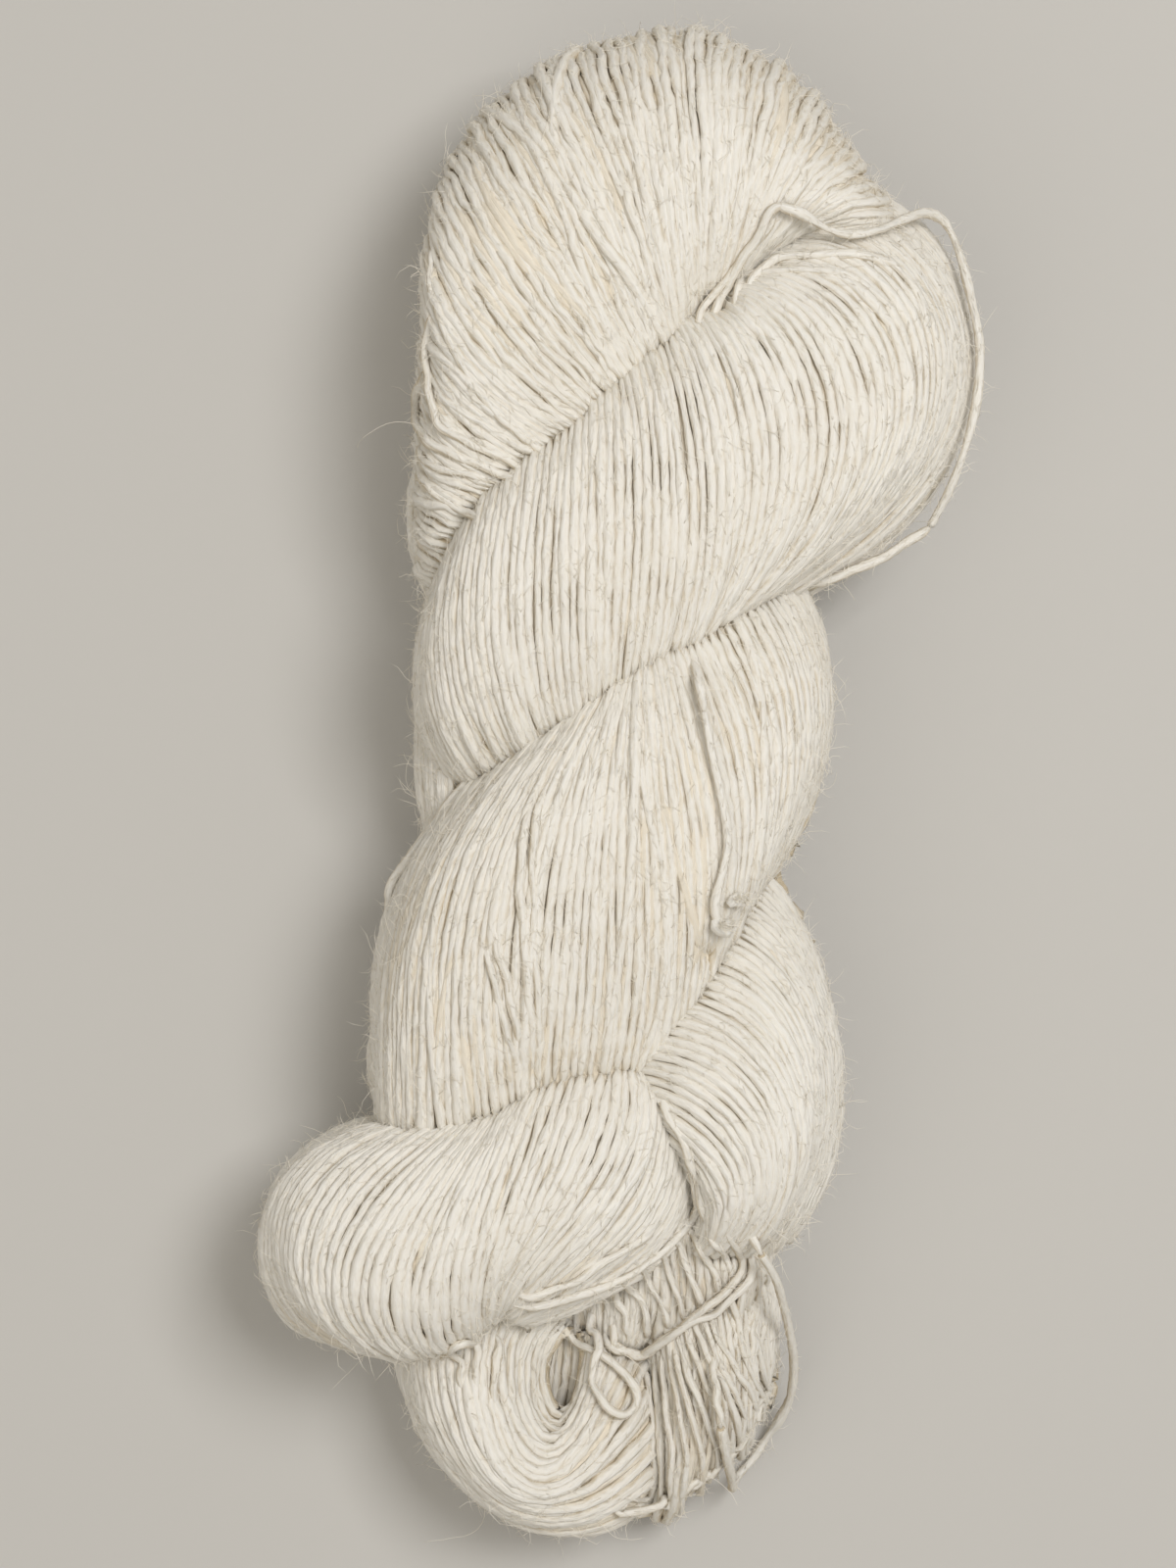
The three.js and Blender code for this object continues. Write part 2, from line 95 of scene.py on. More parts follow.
LOBES = {
    # the head, where the skein is folded and its turns fan out round the eye
    "fold_fan": [
        [-16, 28, -24, 30, -29, 33, -31, 36, 26, 22, 30, 18],
        [-15, 35, -22, 37, -28, 40, -31.5, 44, 30, 22, 39, 10],
        [-10, 43, -19, 46, -27, 50, -31, 58, 33, 23, 46, 4],
        [-4, 50, -15, 55, -26, 64.5, -29.5, 79, 34, 24, 50, 2],
        [1, 53, -12, 60, -24.5, 73, -28.5, 90, 34, 25, 52, 0],
        [5, 57, -6, 70, -16.5, 85.5, -24, 102, 34, 25, 53, -1],
        [8, 60, 1, 77, -7.5, 96, -13.5, 112.5, 34, 25, 53.5, -1],
        [11, 64, 8, 82, 5, 102, 2, 118, 34, 25, 54, -1],
        [13, 67, 13, 84, 13, 103, 13.5, 119, 34, 25, 54, -1],
        [15, 70, 18, 86, 22, 101, 26, 113.5, 34, 25, 54, -1],
        [17, 73, 23, 86, 29, 96, 34, 105.5, 34, 25, 53, 0],
        [18, 76, 27, 86, 34.5, 92, 39.5, 96.5, 33, 25, 50, 3],
        [19, 78, 31, 85, 41, 86, 47, 85, 31, 26, 44, 9],
        [20, 79, 34, 82, 45, 78, 51, 70, 27, 26, 31, 19],
    ],
    # the first crossing, which sweeps round the eye from the head and down to the left
    "first_crossing": [
        [24, 88, 46, 90, 56, 61.5, 25, 29, 28, 27, 32, 21],
        [22.5, 86.5, 44.5, 88, 54.5, 61.5, 23, 28.5, 30, 28, 37, 14],
        [20, 83, 41.5, 83.5, 50.3, 59.5, 20, 27.5, 33, 30, 46, 6],
        [18.5, 80, 38, 79, 45.5, 56.5, 18, 26.5, 35, 33, 51, 2],
        [16, 77, 32, 73, 38, 51.5, 15.5, 24.5, 37, 36, 54, 1],
        [12, 76, 22, 66, 25, 45, 12, 21.5, 38, 38, 55, 5],
        [7, 73, 12, 58, 13.3, 37.5, 8.5, 16.5, 38, 38, 55, 14],
        [1, 67, 4, 52, 3.5, 32, 1.5, 11.5, 38, 38, 55, 14],
        [-4.5, 61.5, -5, 46, -5.5, 27, -4, 8.5, 38, 38, 55, 14],
        [-10.5, 57, -12, 42, -12.5, 24.5, -8.5, 5.5, 37, 37, 54, 13],
        [-16, 52.5, -18.5, 38, -18.3, 20.5, -12.5, 2.5, 35, 35, 53, 11],
        [-21, 46.5, -24, 34, -23.7, 17.5, -17, 0.5, 33, 33, 50, 8],
        [-25, 40, -28, 30, -28.4, 14.5, -20.5, -1, 29, 30, 44, 10],
        [-27, 35, -30.2, 27, -30.7, 12, -23, -1, 26, 27, 33, 20],
    ],
    # the second crossing, of the other half of the skein
    "second_crossing": [
        [27, 36, 33.5, 21, 32, 3, 21, -19, 28, 26, 32, 21],
        [22.5, 35, 31.5, 19, 30, 0, 19, -21, 31, 28, 40, 16],
        [17, 33, 26.5, 17, 26.5, -2.5, 17, -25, 34, 32, 48, 12],
        [11, 30, 19, 13.5, 21.5, -5, 15.5, -29, 37, 36, 52, 12],
        [8, 27.5, 14, 10.5, 17, -8, 13, -34, 38, 38, 54, 12],
        [6, 26, 9.5, 8, 12, -12, 9.5, -40, 38, 38, 55, 12],
        [4.5, 24.5, 4.3, 5, 4.8, -16, 2, -47, 38, 38, 55, 12],
        [3, 23, -0.5, 3.5, -2.5, -18.5, -5, -49.5, 38, 38, 55, 12],
        [1.5, 21.5, -5.5, 1.5, -9.5, -21, -11.5, -51, 38, 38, 55, 12],
        [-0.5, 19.5, -11, -1, -16.8, -23.5, -15, -52.5, 38, 38, 55, 12],
        [-3, 17, -17, -4, -23.8, -26, -22.5, -55, 37, 36, 54, 12],
        [-7, 14, -23.5, -7.5, -29.5, -28.5, -30, -57, 35, 34, 51, 11],
        [-13, 10.5, -28.5, -11.5, -33.3, -32, -33.5, -57, 32, 31, 47, 10],
        [-20, 5, -32.5, -15.5, -36, -35.5, -35.8, -57, 29, 29, 41, 12],
        [-26.5, -2, -36, -21, -37.8, -38, -37.3, -56, 27, 26, 32, 20],
    ],
    # the third crossing, which comes back at the right
    "third_crossing": [
        [20, -10, 31, -25, 35.5, -48, 27, -71, 28, 26, 32, 20],
        [17, -15, 28.5, -25, 34, -47, 25, -72, 31, 28, 38, 14],
        [12, -22, 25, -28, 31.5, -47, 23, -73, 33, 29, 45, 10],
        [7, -30, 21, -33, 29, -50, 21, -73, 34, 30, 49, 10],
        [2, -38, 16, -40, 25, -54, 18, -73, 35, 31, 51, 10],
        [1, -44, 12, -47, 20, -58, 15, -73, 35, 31, 50, 10],
        [2, -49, 9, -53, 15, -62, 12, -73, 34, 31, 47, 12],
        [3, -54, 7, -58, 11, -65, 9, -73, 31, 30, 32, 28],
    ],
    # the end loop that is opened and wraps the neck, bulging out to the left
    "neck_wrap": [
        [-31, -52, -52, -60.5, -54.3, -78, -40, -87, 28, 27, 33, 20],
        [-28, -50.5, -49.5, -59.5, -52, -77, -38, -88, 29, 28, 38, 14],
        [-23, -49, -43, -60.5, -47.5, -76.5, -35.5, -88.5, 31, 30, 46, 7],
        [-19, -47.5, -34, -61, -40.5, -75.5, -32.5, -88.5, 33, 32, 51, 4],
        [-15.5, -45.5, -25, -60, -30, -74.5, -28, -87.5, 35, 34, 53, 8],
        [-12.5, -43, -19.3, -58.5, -22.8, -72.5, -22.5, -85.5, 37, 35, 54, 12],
        [-9, -41, -14, -57, -18.3, -70.5, -20.3, -83.5, 38, 35, 54, 14],
        [-4.5, -39.5, -8.5, -56, -14.8, -69.5, -19.2, -82.5, 38, 35, 54, 14],
        [0, -39, -2, -56, -11, -69.5, -18.3, -82, 38, 35, 53, 15],
        [3.5, -40, 4, -56.5, -5.5, -70.5, -17.3, -82, 38, 34, 50, 18],
        [6.5, -44, 9, -59.5, 0.5, -72, -16, -82.3, 36, 34, 44, 24],
        [8.5, -50, 12.3, -63, 5, -74.5, -14, -82.8, 34, 33, 36, 31],
    ],
    # the other end loop, drawn through the wrap and curled round a small eye
    "end_loop": [
        [-7, -84, -11, -93, -7.8, -98.3, -4, -85, 24, 24, 25, 21],
        [-11, -82.5, -15.3, -93.5, -10, -103, 0, -86.5, 27, 24, 32, 9],
        [-15, -81, -19.5, -94, -12, -107.5, 5, -90, 27, 22, 36, 2],
        [-20, -80.5, -23.5, -95, -14, -110, 9, -97, 26, 18, 36, 0],
        [-25, -81, -28, -96.5, -15.5, -113, 10, -103.5, 24, 16, 32, -1],
        [-28, -82.5, -31, -99, -16, -115.5, 9, -109.5, 21, 15, 25, 5],
        [-30, -84, -32, -100, -15, -117, 8, -112, 18, 15, 17, 14],
    ],
    # the loops that hang out of the wrap beside it
    "tail_loops": [
        [0, -74, 3, -84, 5.5, -101, 3.5, -114, 22, 8, 20, 9],
        [2, -71, 7, -85, 8.5, -103, 7.5, -118, 27, 6, 28, 2],
        [6, -68, 12, -84, 13, -100, 12.5, -114, 29, 6, 33, -1],
        [12, -66, 16, -82, 17.5, -97, 17.5, -110, 29, 6, 34, -1],
        [17, -66, 20.5, -80, 22, -94, 21.5, -104.5, 27, 7, 30, 1],
        [21, -69, 24.5, -78, 25.5, -89, 24.5, -98.5, 22, 9, 20, 9],
    ],
    # behind the first crossing
    "first_back": [
        [-27, 60, -31, 50, -31.2, 38, -27, 28, 20, 20, 26, 14],
        [-20, 62, -22, 50, -22, 36, -20, 22, 20, 20, 34, 3],
        [-10, 59, -10, 45, -10, 30, -10, 14, 18, 18, 34, -1],
        [0, 54, 0, 40, 0, 24, 0, 8, 17, 17, 34, -2],
        [10, 48, 10, 34, 10, 17, 10, 1, 17, 17, 34, -2],
        [20, 41, 21, 28, 21, 11, 20, -6, 18, 18, 34, -1],
        [27, 34, 29, 24, 29, 8, 25, -11, 22, 22, 34, 5],
        [29, 31, 32, 21, 32, 5, 27, -9, 26, 26, 27, 25],
    ],
    # behind the second crossing
    "second_back": [
        [-27, 28, -30, 18, -30.5, 2, -29, -9, 22, 22, 27, 17],
        [-22, 28, -24, 14, -25, -2, -22, -18, 20, 20, 34, 4],
        [-12, 22, -14, 6, -14, -10, -12, -28, 18, 18, 34, -1],
        [-2, 14, -3, -3, -3, -20, -2, -38, 17, 17, 34, -2],
        [8, 5, 8, -12, 8, -30, 8, -47, 17, 17, 34, -2],
        [17, -5, 18, -20, 18, -38, 17, -56, 18, 18, 34, -1],
        [24, -12, 27, -27, 28, -44, 25, -63, 21, 21, 34, 4],
        [25, -15, 32, -30, 34.5, -47, 29, -66, 26, 26, 27, 25],
    ],
    # the neck, which the wrap holds
    "neck": [
        [-36, -28, -37.5, -38, -37, -50, -33, -62, 23, 23, 27, 19],
        [-30, -25, -31, -40, -30, -56, -26, -70, 21, 21, 34, 6],
        [-20, -32, -21, -48, -20, -68, -17, -91, 18, 16, 24, 4],
        [-8, -40, -8, -58, -8, -80, -8.5, -102, 17, 15, 22, 3],
        [2, -48, 4, -62, 5, -76, 3.5, -90, 20, 18, 33, 3],
        [10, -54, 13, -67, 14, -78, 12, -90, 20, 18, 36, 3],
        [17, -58, 21, -68, 22, -77, 20, -84, 22, 18, 34, 6],
        [20, -60, 24, -68, 24.5, -74, 22, -80, 22, 20, 22, 18],
    ],
    # the wrap's half that runs behind the neck
    "wrap_back": [
        [-44, -57, -51, -64, -51, -76, -43, -85, 14, 14, 20, 10],
        [-36, -55, -39, -64, -39, -77, -35, -87, 9, 9, 18, -1],
        [-22, -56, -24, -65, -24, -77, -21, -86, 7, 7, 16, -1.5],
        [-6, -58, -7, -66, -6, -77, -4, -85, 7, 7, 16, -1.5],
        [10, -60, 10, -68, 11, -77, 12, -83, 8, 8, 18, -1],
        [22, -60, 23, -66, 24, -72, 22, -77, 12, 12, 22, 1],
        [28, -60, 30.5, -63, 30.5, -67, 27, -70, 18, 18, 22, 14],
    ],
}

# Turns that have slipped off the hank and stand clear of it. Each row is a point of the strand's
# middle.
LOOSE_STRANDS = {
    # off the head at the right, over the edge and back under the first crossing
    "slack_turn_top": [
        (24.5, 88, 54.6),
        (28.2, 87, 52.8),
        (31.8, 85.2, 50.6),
        (35.6, 84.4, 49.8),
        (40, 85.4, 47.8),
        (44.5, 87.8, 43),
        (48.2, 89.4, 38),
        (51.4, 88, 35.4),
        (53.6, 82.4, 36.6),
        (55, 76, 38),
        (56.2, 70, 38),
        (56.3, 65, 38),
        (55.6, 59, 38),
        (53.8, 52, 36.8),
        (51.8, 46.5, 34),
        (49.4, 41.6, 30.5),
    ],
    # out of the wrap, down beside the tail and back over its tip
    "slack_turn_side": [
        (22.4, -71, 43),
        (24.8, -75.4, 38.5),
        (26.2, -80, 32.5),
        (27.4, -84.6, 26),
        (28.4, -89.2, 20),
        (28.8, -94, 14),
        (28.4, -98.6, 9),
        (27, -102.6, 5),
        (25, -106, 2.4),
        (22.8, -109.6, 1.6),
        (20.4, -112, 3),
        (19.4, -113, 7),
        (19, -112, 13),
        (18.4, -108.4, 22),
        (17.4, -104, 30.5),
        (16.4, -98.8, 36),
    ],
    # the yarn's end, lying over the second crossing
    "loose_end": [
        (13.2, 12, 55.2),
        (13.9, 8, 55.3),
        (14.7, 4, 55.2),
        (15.6, 0, 55),
        (16.4, -4, 54.7),
        (16.7, -8, 54.3),
        (16, -12, 53.9),
        (15, -16, 53.2),
        (15, -18.6, 52.4),
        (16.2, -20.6, 50.8),
    ],
}

# Single turns that lie over the others, seen from above as the camera sees them: x, y and how far each
# point stands off the turns below
LAID_STRANDS = {
    # turns that bend back along the head's left edge
    "head_edge": [
        [(-28.9, 85, 0.2), (-28.3, 77, 0.2), (-24.5, 68, 0.3), (-19.8, 61, 0.3), (-15, 56, 0.2),
         (-10.9, 53.5, -1.8)],
        [(-28.6, 75.5, 0), (-29.6, 68.5, 0.5), (-28.6, 63, 0.8), (-27.2, 57.8, 0.8), (-23.3, 55.2, 0.6),
         (-18, 52.7, 0.2), (-13.5, 50.5, -1.8)],
        [(-30.2, 66, 0), (-30.8, 60, 0.6), (-29.4, 55.4, 0.8), (-24.5, 53, 0.5), (-18, 50, 0.2),
         (-14.5, 48, -1.8)],
        [(-30.4, 55, 0), (-29.4, 51.8, 0.6), (-23.3, 50, 0.4), (-17.4, 48.6, -1.8)],
        [(-31, 50, 0), (-28, 47, 0.5), (-22.5, 43.5, 0), (-20.5, 42, -1.8)],
    ],
    # turns that kink where they leave the eye of the head
    "head_eye": [
        [(25.9, 92.2, 2.3), (25, 92.4, 2), (24.1, 91.4, 1.6), (22.9, 89.2, 1.2), (21.4, 86.8, 1),
         (19.8, 84.6, 0.9), (18.4, 81.6, 0.7), (17, 78.6, 0.3), (14.4, 75, -1.8)],
        [(20, 77.5, -1.8), (21.6, 80.4, 0.3), (25.1, 83, 0.8), (29.8, 84, 0.6), (35.8, 84.3, 0.4),
         (41.7, 83.8, 0.3), (46.5, 80, 0.2), (49.6, 73, 0)],
        [(18.4, 76, -1.8), (19.4, 79.2, 0.2), (20.4, 81, 0.4), (24, 81.4, 0.4), (31, 82, 0.2),
         (38, 80.6, 0.1), (43.5, 76, 0)],
        [(12.4, 71.5, -1.8), (13.4, 75, 0.2), (16.8, 80.4, 0.3), (21.8, 86, 0.3), (25.5, 91, 0)],
    ],
    # the bunch that crosses under the fan of the second crossing towards its foot
    "crossing_bunch": [
        [(-20.6, -17, -1.7), (-18.8, -23.5, -0.2), (-17, -30.5, 0), (-15.2, -38, 0), (-13.8, -43, -1.8)],
        [(-21.4, -20, -1.7), (-19.8, -26.5, -0.1), (-18.2, -33.5, 0), (-16.6, -39.5, 0), (-15, -44, -1.8)],
        [(-11, 3, -1.7), (-11.8, -2, 0.2), (-12.8, -8, 0.3), (-13, -17, 0.2), (-12.4, -27, 0.2),
         (-12, -38, 0), (-12.4, -43, -1.8)],
        [(-12.6, 0, -1.7), (-13.8, -5, 0.2), (-14.8, -11, 0.3), (-14.8, -19, 0.2), (-13.8, -28, 0.2),
         (-13, -38, 0), (-13.2, -43, -1.8)],
    ],
    # turns drawn tight round the right end of the wrap, and along its lower edge
    "wrap_edge": [
        [(6, -47.5, -1.8), (8.6, -51, 0.3), (11.3, -56, 0.4), (13.2, -61, 0.4), (14, -66, 0.3),
         (13.6, -70, -1.8)],
        [(9.4, -55, -1.5), (12.2, -60, 0.3), (13.4, -65, 0.3), (11.3, -68.5, 0.5), (7.5, -71.6, 0.7),
         (3.1, -75, 0.7), (-1.9, -77.6, 0.6), (-8.8, -79.8, 0.5), (-13.9, -81, 0.3), (-18.3, -81.4, -1.8)],
        [(9, -67, -1.7), (4, -70.5, 0.4), (0, -72.4, 0.6), (-3.8, -75, 0.6), (-8.8, -77.8, 0.5),
         (-12.6, -79.2, 0.3), (-16.4, -80.4, -1.8)],
    ],
    # the slack double turn that hangs from the wrap's right end, and the small loop beside it
    "slack_double": [
        [(21.5, -71, -1.8), (20.9, -75.5, 1.2), (17.7, -79.6, 1.5), (13.8, -82.8, 1.6), (10.1, -85.4, 1.6),
         (6.9, -87.8, 1.6), (3.8, -89.2, 1.5), (0.6, -88.6, 1.2), (-1.3, -86.8, 0.8), (-2.2, -84.6, -1.8)],
        [(20, -71, -1.8), (19.5, -75.2, 1.2), (16.6, -78.8, 1.5), (13, -81.6, 1.6), (9.4, -84.2, 1.6),
         (6.2, -86.6, 1.6), (3.6, -87.8, 1.5), (1.2, -87.2, 1.2), (-0.2, -85.4, 0.8), (-0.8, -83, -1.8)],
    ],
    "slack_loop": [
        [(-9, -80.5, -1.8), (-7.3, -84.9, 0.8), (-4.4, -87.1, 1.2), (-1.3, -89.7, 1.4), (1.6, -92.8, 1.6),
         (2.5, -96, 1.6), (1.2, -98, 1.6), (-0.8, -98, 1.6), (-2.2, -96, 1.6), (-2.9, -92.2, 1.6),
         (-2.5, -89.7, 2), (-2.2, -87.1, 2.2), (-3.4, -84.6, 1.2), (-4.6, -81.5, -1.8)],
    ],
    # short turns that come out under the wrap, above the doubled slack turn
    "strip": [
        [(6.5, -68, -1.8), (9.9, -70.9, 0.1), (11.2, -74.5, 0.3), (12.7, -78.1, 0.3), (13.8, -80.6, 0.1),
         (14.4, -83, -1.5)],
        [(9.5, -67, -1.8), (12.2, -69.8, 0.1), (14.3, -72.9, 0.3), (15.6, -76, 0.3), (16.3, -78.1, 0.2),
         (16.8, -81, -1.5)],
        [(12.5, -67.5, -1.8), (14.8, -69.6, 0.1), (16.9, -72.4, 0.3), (18.1, -75, 0.2),
         (18.8, -78.5, -1.5)],
        [(4.5, -70, -1.8), (7.6, -72.9, 0.1), (8.9, -76.5, 0.3), (10.2, -80.1, 0.3), (10.7, -82.2, 0.1),
         (11, -85, -1.5)],
        [(1.5, -72.5, -1.8), (4.5, -75.5, 0.1), (6.6, -79.1, 0.3), (8.1, -82.2, 0.3), (8.4, -84.2, 0.1),
         (8.6, -87, -1.5)],
        [(-1, -75, -1.8), (1.9, -77.6, 0.1), (4.5, -80.6, 0.3), (5.2, -84.2, 0.2), (4.7, -87.4, -1.5)],
        [(-3, -76.5, -1.8), (-0.1, -79.1, 0.1), (1.7, -82.2, 0.3), (2, -85.3, 0.2), (1.2, -88, -1.5)],
        [(15.5, -67.5, -1.8), (18.2, -70.4, 0.1), (19.9, -73.6, 0.3), (20.2, -77, 0.3), (19.6, -81, 0.3),
         (19.2, -85, 0.2), (19, -88.5, -1.5)],
        [(18, -69, -1.8), (20.6, -71.6, 0.1), (22.2, -75, 0.3), (22.4, -79, 0.3), (21.6, -83.5, 0.3),
         (21.4, -88, 0.2), (22, -92, -1.5)],
        [(19.6, -70, -1.8), (22, -73, 0.1), (23.6, -77, 0.3), (23.8, -81, 0.3), (23, -85.3, 0.2),
         (23, -90, -1.5)],
    ],
    # the loops of the tail, spreading towards its ragged end
    "tail": [
        [(4, -87, -1.8), (5, -92, 0.1), (5.6, -99, 0.3), (6, -107, 0.3), (5.4, -113, 0.3), (5, -117.6, 0.4),
         (6, -119, -1)],
        [(5.4, -87, -1.8), (6.4, -91, 0.1), (7.2, -98, 0.3), (7.6, -106.4, 0.3), (7, -113, 0.3),
         (6.2, -118.6, 0.6), (5, -120, 0.2), (4.6, -118, -1)],
        [(6.4, -86, -1.8), (7.6, -90.4, 0.1), (8.4, -97.6, 0.3), (9.1, -106.4, 0.3), (8.8, -113, 0.3),
         (7.8, -119.6, 0.6), (7, -120.4, 0)],
        [(7.4, -85, -1.8), (8.9, -89.4, 0.1), (10.2, -96.6, 0.3), (11.4, -106.4, 0.3), (11, -113, 0.3),
         (9.6, -119, 0.4), (9, -119.6, -1)],
        [(9, -83, -1.8), (10.4, -88, 0.2), (12.7, -93.5, 0.3), (15.2, -101.2, 0.3), (15.9, -106.4, 0.3),
         (15.4, -112, 0.3), (14.4, -114.6, 0.3), (13.4, -114, -1)],
        [(8.2, -84, -1.8), (9.6, -88.5, 0.2), (11.5, -95, 0.3), (13.4, -103.5, 0.3), (13.6, -109.5, 0.3),
         (12.8, -115.4, 0.4), (11.8, -116.6, -1)],
        [(10.4, -82, -1.8), (11.6, -86, 0.2), (13.6, -91, 0.3), (16.1, -97, 0.3), (17.6, -103, 0.3),
         (17.7, -109, 0.3), (16.8, -112, 0.3), (15.8, -112.4, -1)],
        [(11.4, -80, -1.8), (12.9, -84.2, 0.2), (14.6, -88.4, 0.3), (17, -93.5, 0.3), (18.6, -97.6, 0.3),
         (19.8, -103, 0.3), (19.4, -108, 0.4), (18.4, -109, -1)],
        [(12.6, -79.6, -1.8), (14.2, -84, 0.2), (16, -89, 0.3), (18.4, -94, 0.3), (20.3, -98.5, 0.3),
         (21.4, -103.4, 0.4), (21, -105.6, 0.4), (20, -105, -1)],
        [(14, -79, -1.8), (15.5, -84.2, 0.2), (17.5, -88.6, 0.3), (19.9, -92.5, 0.3), (22, -96.6, 0.3),
         (23, -101, 0.4), (22.4, -103, 0.2), (21.4, -101, -1)],
        [(16.4, -77, -1.8), (18.4, -80.4, 0.2), (19.2, -84.2, 0.3), (20, -88.4, 0.3), (21.6, -92.5, 0.3),
         (23.2, -96, 0.4), (24.6, -98.8, 0.5), (24, -100.4, 0.3), (22.8, -99, -1)],
        [(20.4, -83, -1.8), (21.6, -85.4, 0.2), (22.6, -89.6, 0.3), (23.8, -93.6, 0.4), (24.4, -96.6, 0.3),
         (23.8, -98.4, -1)],
    ],
    # little folds of turns beside the eye of the end loop
    "end_folds": [
        [(-27.5, -91, -1.5), (-26.8, -88, 0.4), (-24, -86.2, 0.8), (-21.8, -87.2, 0.8), (-21.4, -89.7, 0.6),
         (-22.2, -92.6, 0.3), (-22, -96, -1.7)],
        [(-29, -93, -1.5), (-28, -89.5, 0.4), (-25.6, -88.4, 0.7), (-24, -89.6, 0.7), (-24, -92, 0.5),
         (-24.4, -96, -1.7)],
        [(-19, -84, -1.8), (-18.4, -87, 0.5), (-19, -90.5, 0.5), (-19.2, -94.5, 0.2), (-17.6, -99, -1.7)],
    ],
}

# The bunches whose strands are spun finer
FINE_BUNCHES = ("strip", "tail")

# Stretches that hang free of the hank: x, y, z of points along each strand's middle
FREE_STRANDS = {
    # a slack turn that bridges the hollow at the left between two crossings
    "left_bridge": [
        [(-20, 6, 36), (-25, -1, 35), (-29, -6, 31), (-33, -11, 29), (-35.3, -15.2, 28), (-35.7, -18.8, 28),
         (-34, -22, 27)],
    ],
    # where the free strands go back into the hank
    "strand_roots": [
        [(49.4, 41.6, 30.5), (46.5, 39.4, 30), (42, 36.8, 30.5), (37, 34.4, 31), (33, 33, 31),
         (30, 32, 28)],
        [(22.4, -71, 43), (21.6, -69.7, 42.8), (20.8, -68, 41), (20.2, -66, 37)],
        [(16.4, -98.8, 36), (15.8, -94.5, 36.6), (15.4, -90.5, 35.8), (15, -86, 31)],
        [(13.2, 12, 55.2), (12.7, 15, 54.2), (12.2, 17.6, 52), (11.6, 20, 47)],
    ],
}

# Two soft lumps of loose wool at the yarn's end, thicker than the strand
END_LUMPS = [
    [(14.6, -19.2, 52.4), (15.6, -20.4, 52.2), (16.8, -20.6, 51.8), (17.6, -19.8, 51)],
    [(16.9, -17.2, 52), (17.8, -16.4, 51.8), (18.8, -16.3, 51.2), (19.4, -17, 50.2)],
]
LUMP_RADIUS = 1.4
LUMP_TINT = 0.5

# The sides of every strand that is laid one by one
LAID_SIDES = 8

# Hollows between turns: x, y, reach and depth
PITS = [(15.8, 74.5, 2.2, 5), (-13.2, -42.2, 1.5, 1.5), (13.4, -25, 1.7, 4)]
PIT_FLOOR = 30

# How each lobe's turns lie: the gap from turn to turn, the strand's diameter, how far the turns wander,
# how much they stand over and under each other, how unevenly they reach the lobe's far edge, and how
# pale they are
LAY = {
    "fold_fan": (1.5, 1.85, 1.2, 1.4, 0.5, -0.06),
    "first_crossing": (1.32, 1.72, 0.45, 0.4, 0.3, 0),
    "second_crossing": (1.36, 1.72, 0.65, 0.9, 0.3, -0.02),
    "third_crossing": (1.35, 1.75, 0.55, 0.5, 0.3, 0.04),
    "neck_wrap": (1.42, 1.8, 0.8, 0.9, 0.4, 0.06),
    "end_loop": (1.5, 1.8, 1, 1.2, 0.6, 0.02),
    "tail_loops": (1.3, 1.4, 1.2, 1.3, 2, 0),
    "first_back": (1.5, 1.8, 0.8, 1, 0.3, 0),
    "second_back": (1.5, 1.8, 0.8, 1, 0.3, 0),
    "neck": (1.4, 1.65, 0.9, 1.3, 0.3, 0),
    "wrap_back": (1.5, 1.8, 0.8, 1, 0.3, 0),
}

# How far turns stray sideways from their places, in millimetres where a lobe's wander is 1: together
# with their neighbours, each by itself, in kinks of a few waves, and where they ride over the others
SHARED_DRIFT = 0.45
OWN_DRIFT = 0.14
KINKS = ((0.08, (7, 10, 13, 17)), (0.05, (22, 29, 37, 47)))
RIDER_DRIFT = 1.8

# How far they stand over or under each other where a lobe's relief is 1: bunched together, each by
# itself, and sunk in a crease. A turn without room goes under the rest, and one that rides lies on
# them.
BUNCHED_LIFT = 0.2
OWN_LIFT = 0.05
CREASE_DEPTH = 0.22
CROWDED_DEPTH = 0.9
LEAST_ROOM = 0.95
RIDER_LIFT = 0.3

# The fuzz, layer by layer: what its fibres spring from, how many there are, their length, their
# segments, how steeply they leave the strand, how much they bend, and the most of them in each cube of
# CROWD_CUBE
FUZZ = {
    "haze_head": ("head", 13000, 2.2, 2, (0, 0.4), 1.2, 7),
    "haze_foot": ("foot", 13000, 2.2, 2, (0, 0.4), 1.2, 7),
    "stray_head": ("head", 4500, 3, 3, (0.3, 1.5), 2.2, 7),
    "stray_foot": ("foot", 4500, 3, 3, (0.3, 1.5), 2.2, 7),
    "long_hairs": ("all", 340, 8, 12, (0.3, 1.2), 4, 7),
    "lump_fluff": ("lumps", 240, 1.4, 3, (0.5, 2), 2.2, 240),
}
CROWD_CUBE = 3
FIBRE_RADIUS = 0.052
# The longest fibre, as a multiple of its layer's length, and the height that a curled hair comes close to
LONGEST = 2.2
MOST_RISE = 8
# How fast a fibre turns back towards its strand
DROOP = 0.45
LOWEST_FIBRE = 0.1

# The wool's surface: how its fibres slant round the strand and how densely they lie, how high they
# stand, how much they and soft patches change the tone, and the height round the strand at which the
# painted groove shade changes nothing
FIBRE_SLANT = math.radians(-28)
FIBRES_TO_A_TURN = (2.2, 11, 1)
FIBRE_HEIGHT = 0.35
FIBRE_TONE = 1.2
PATCH_TONE = 0.18
TONE_SHIFT = -0.06
MEAN_HEIGHT = 0.44

# The view straight down, 600 mm above the hank's mid-height, as wide as the photograph
VIEW_HEIGHT = 600
MIDDLE_HEIGHT = 27
VIEW_CENTRE = (-4.24, 1.16)
VIEW_TALL = 246.9


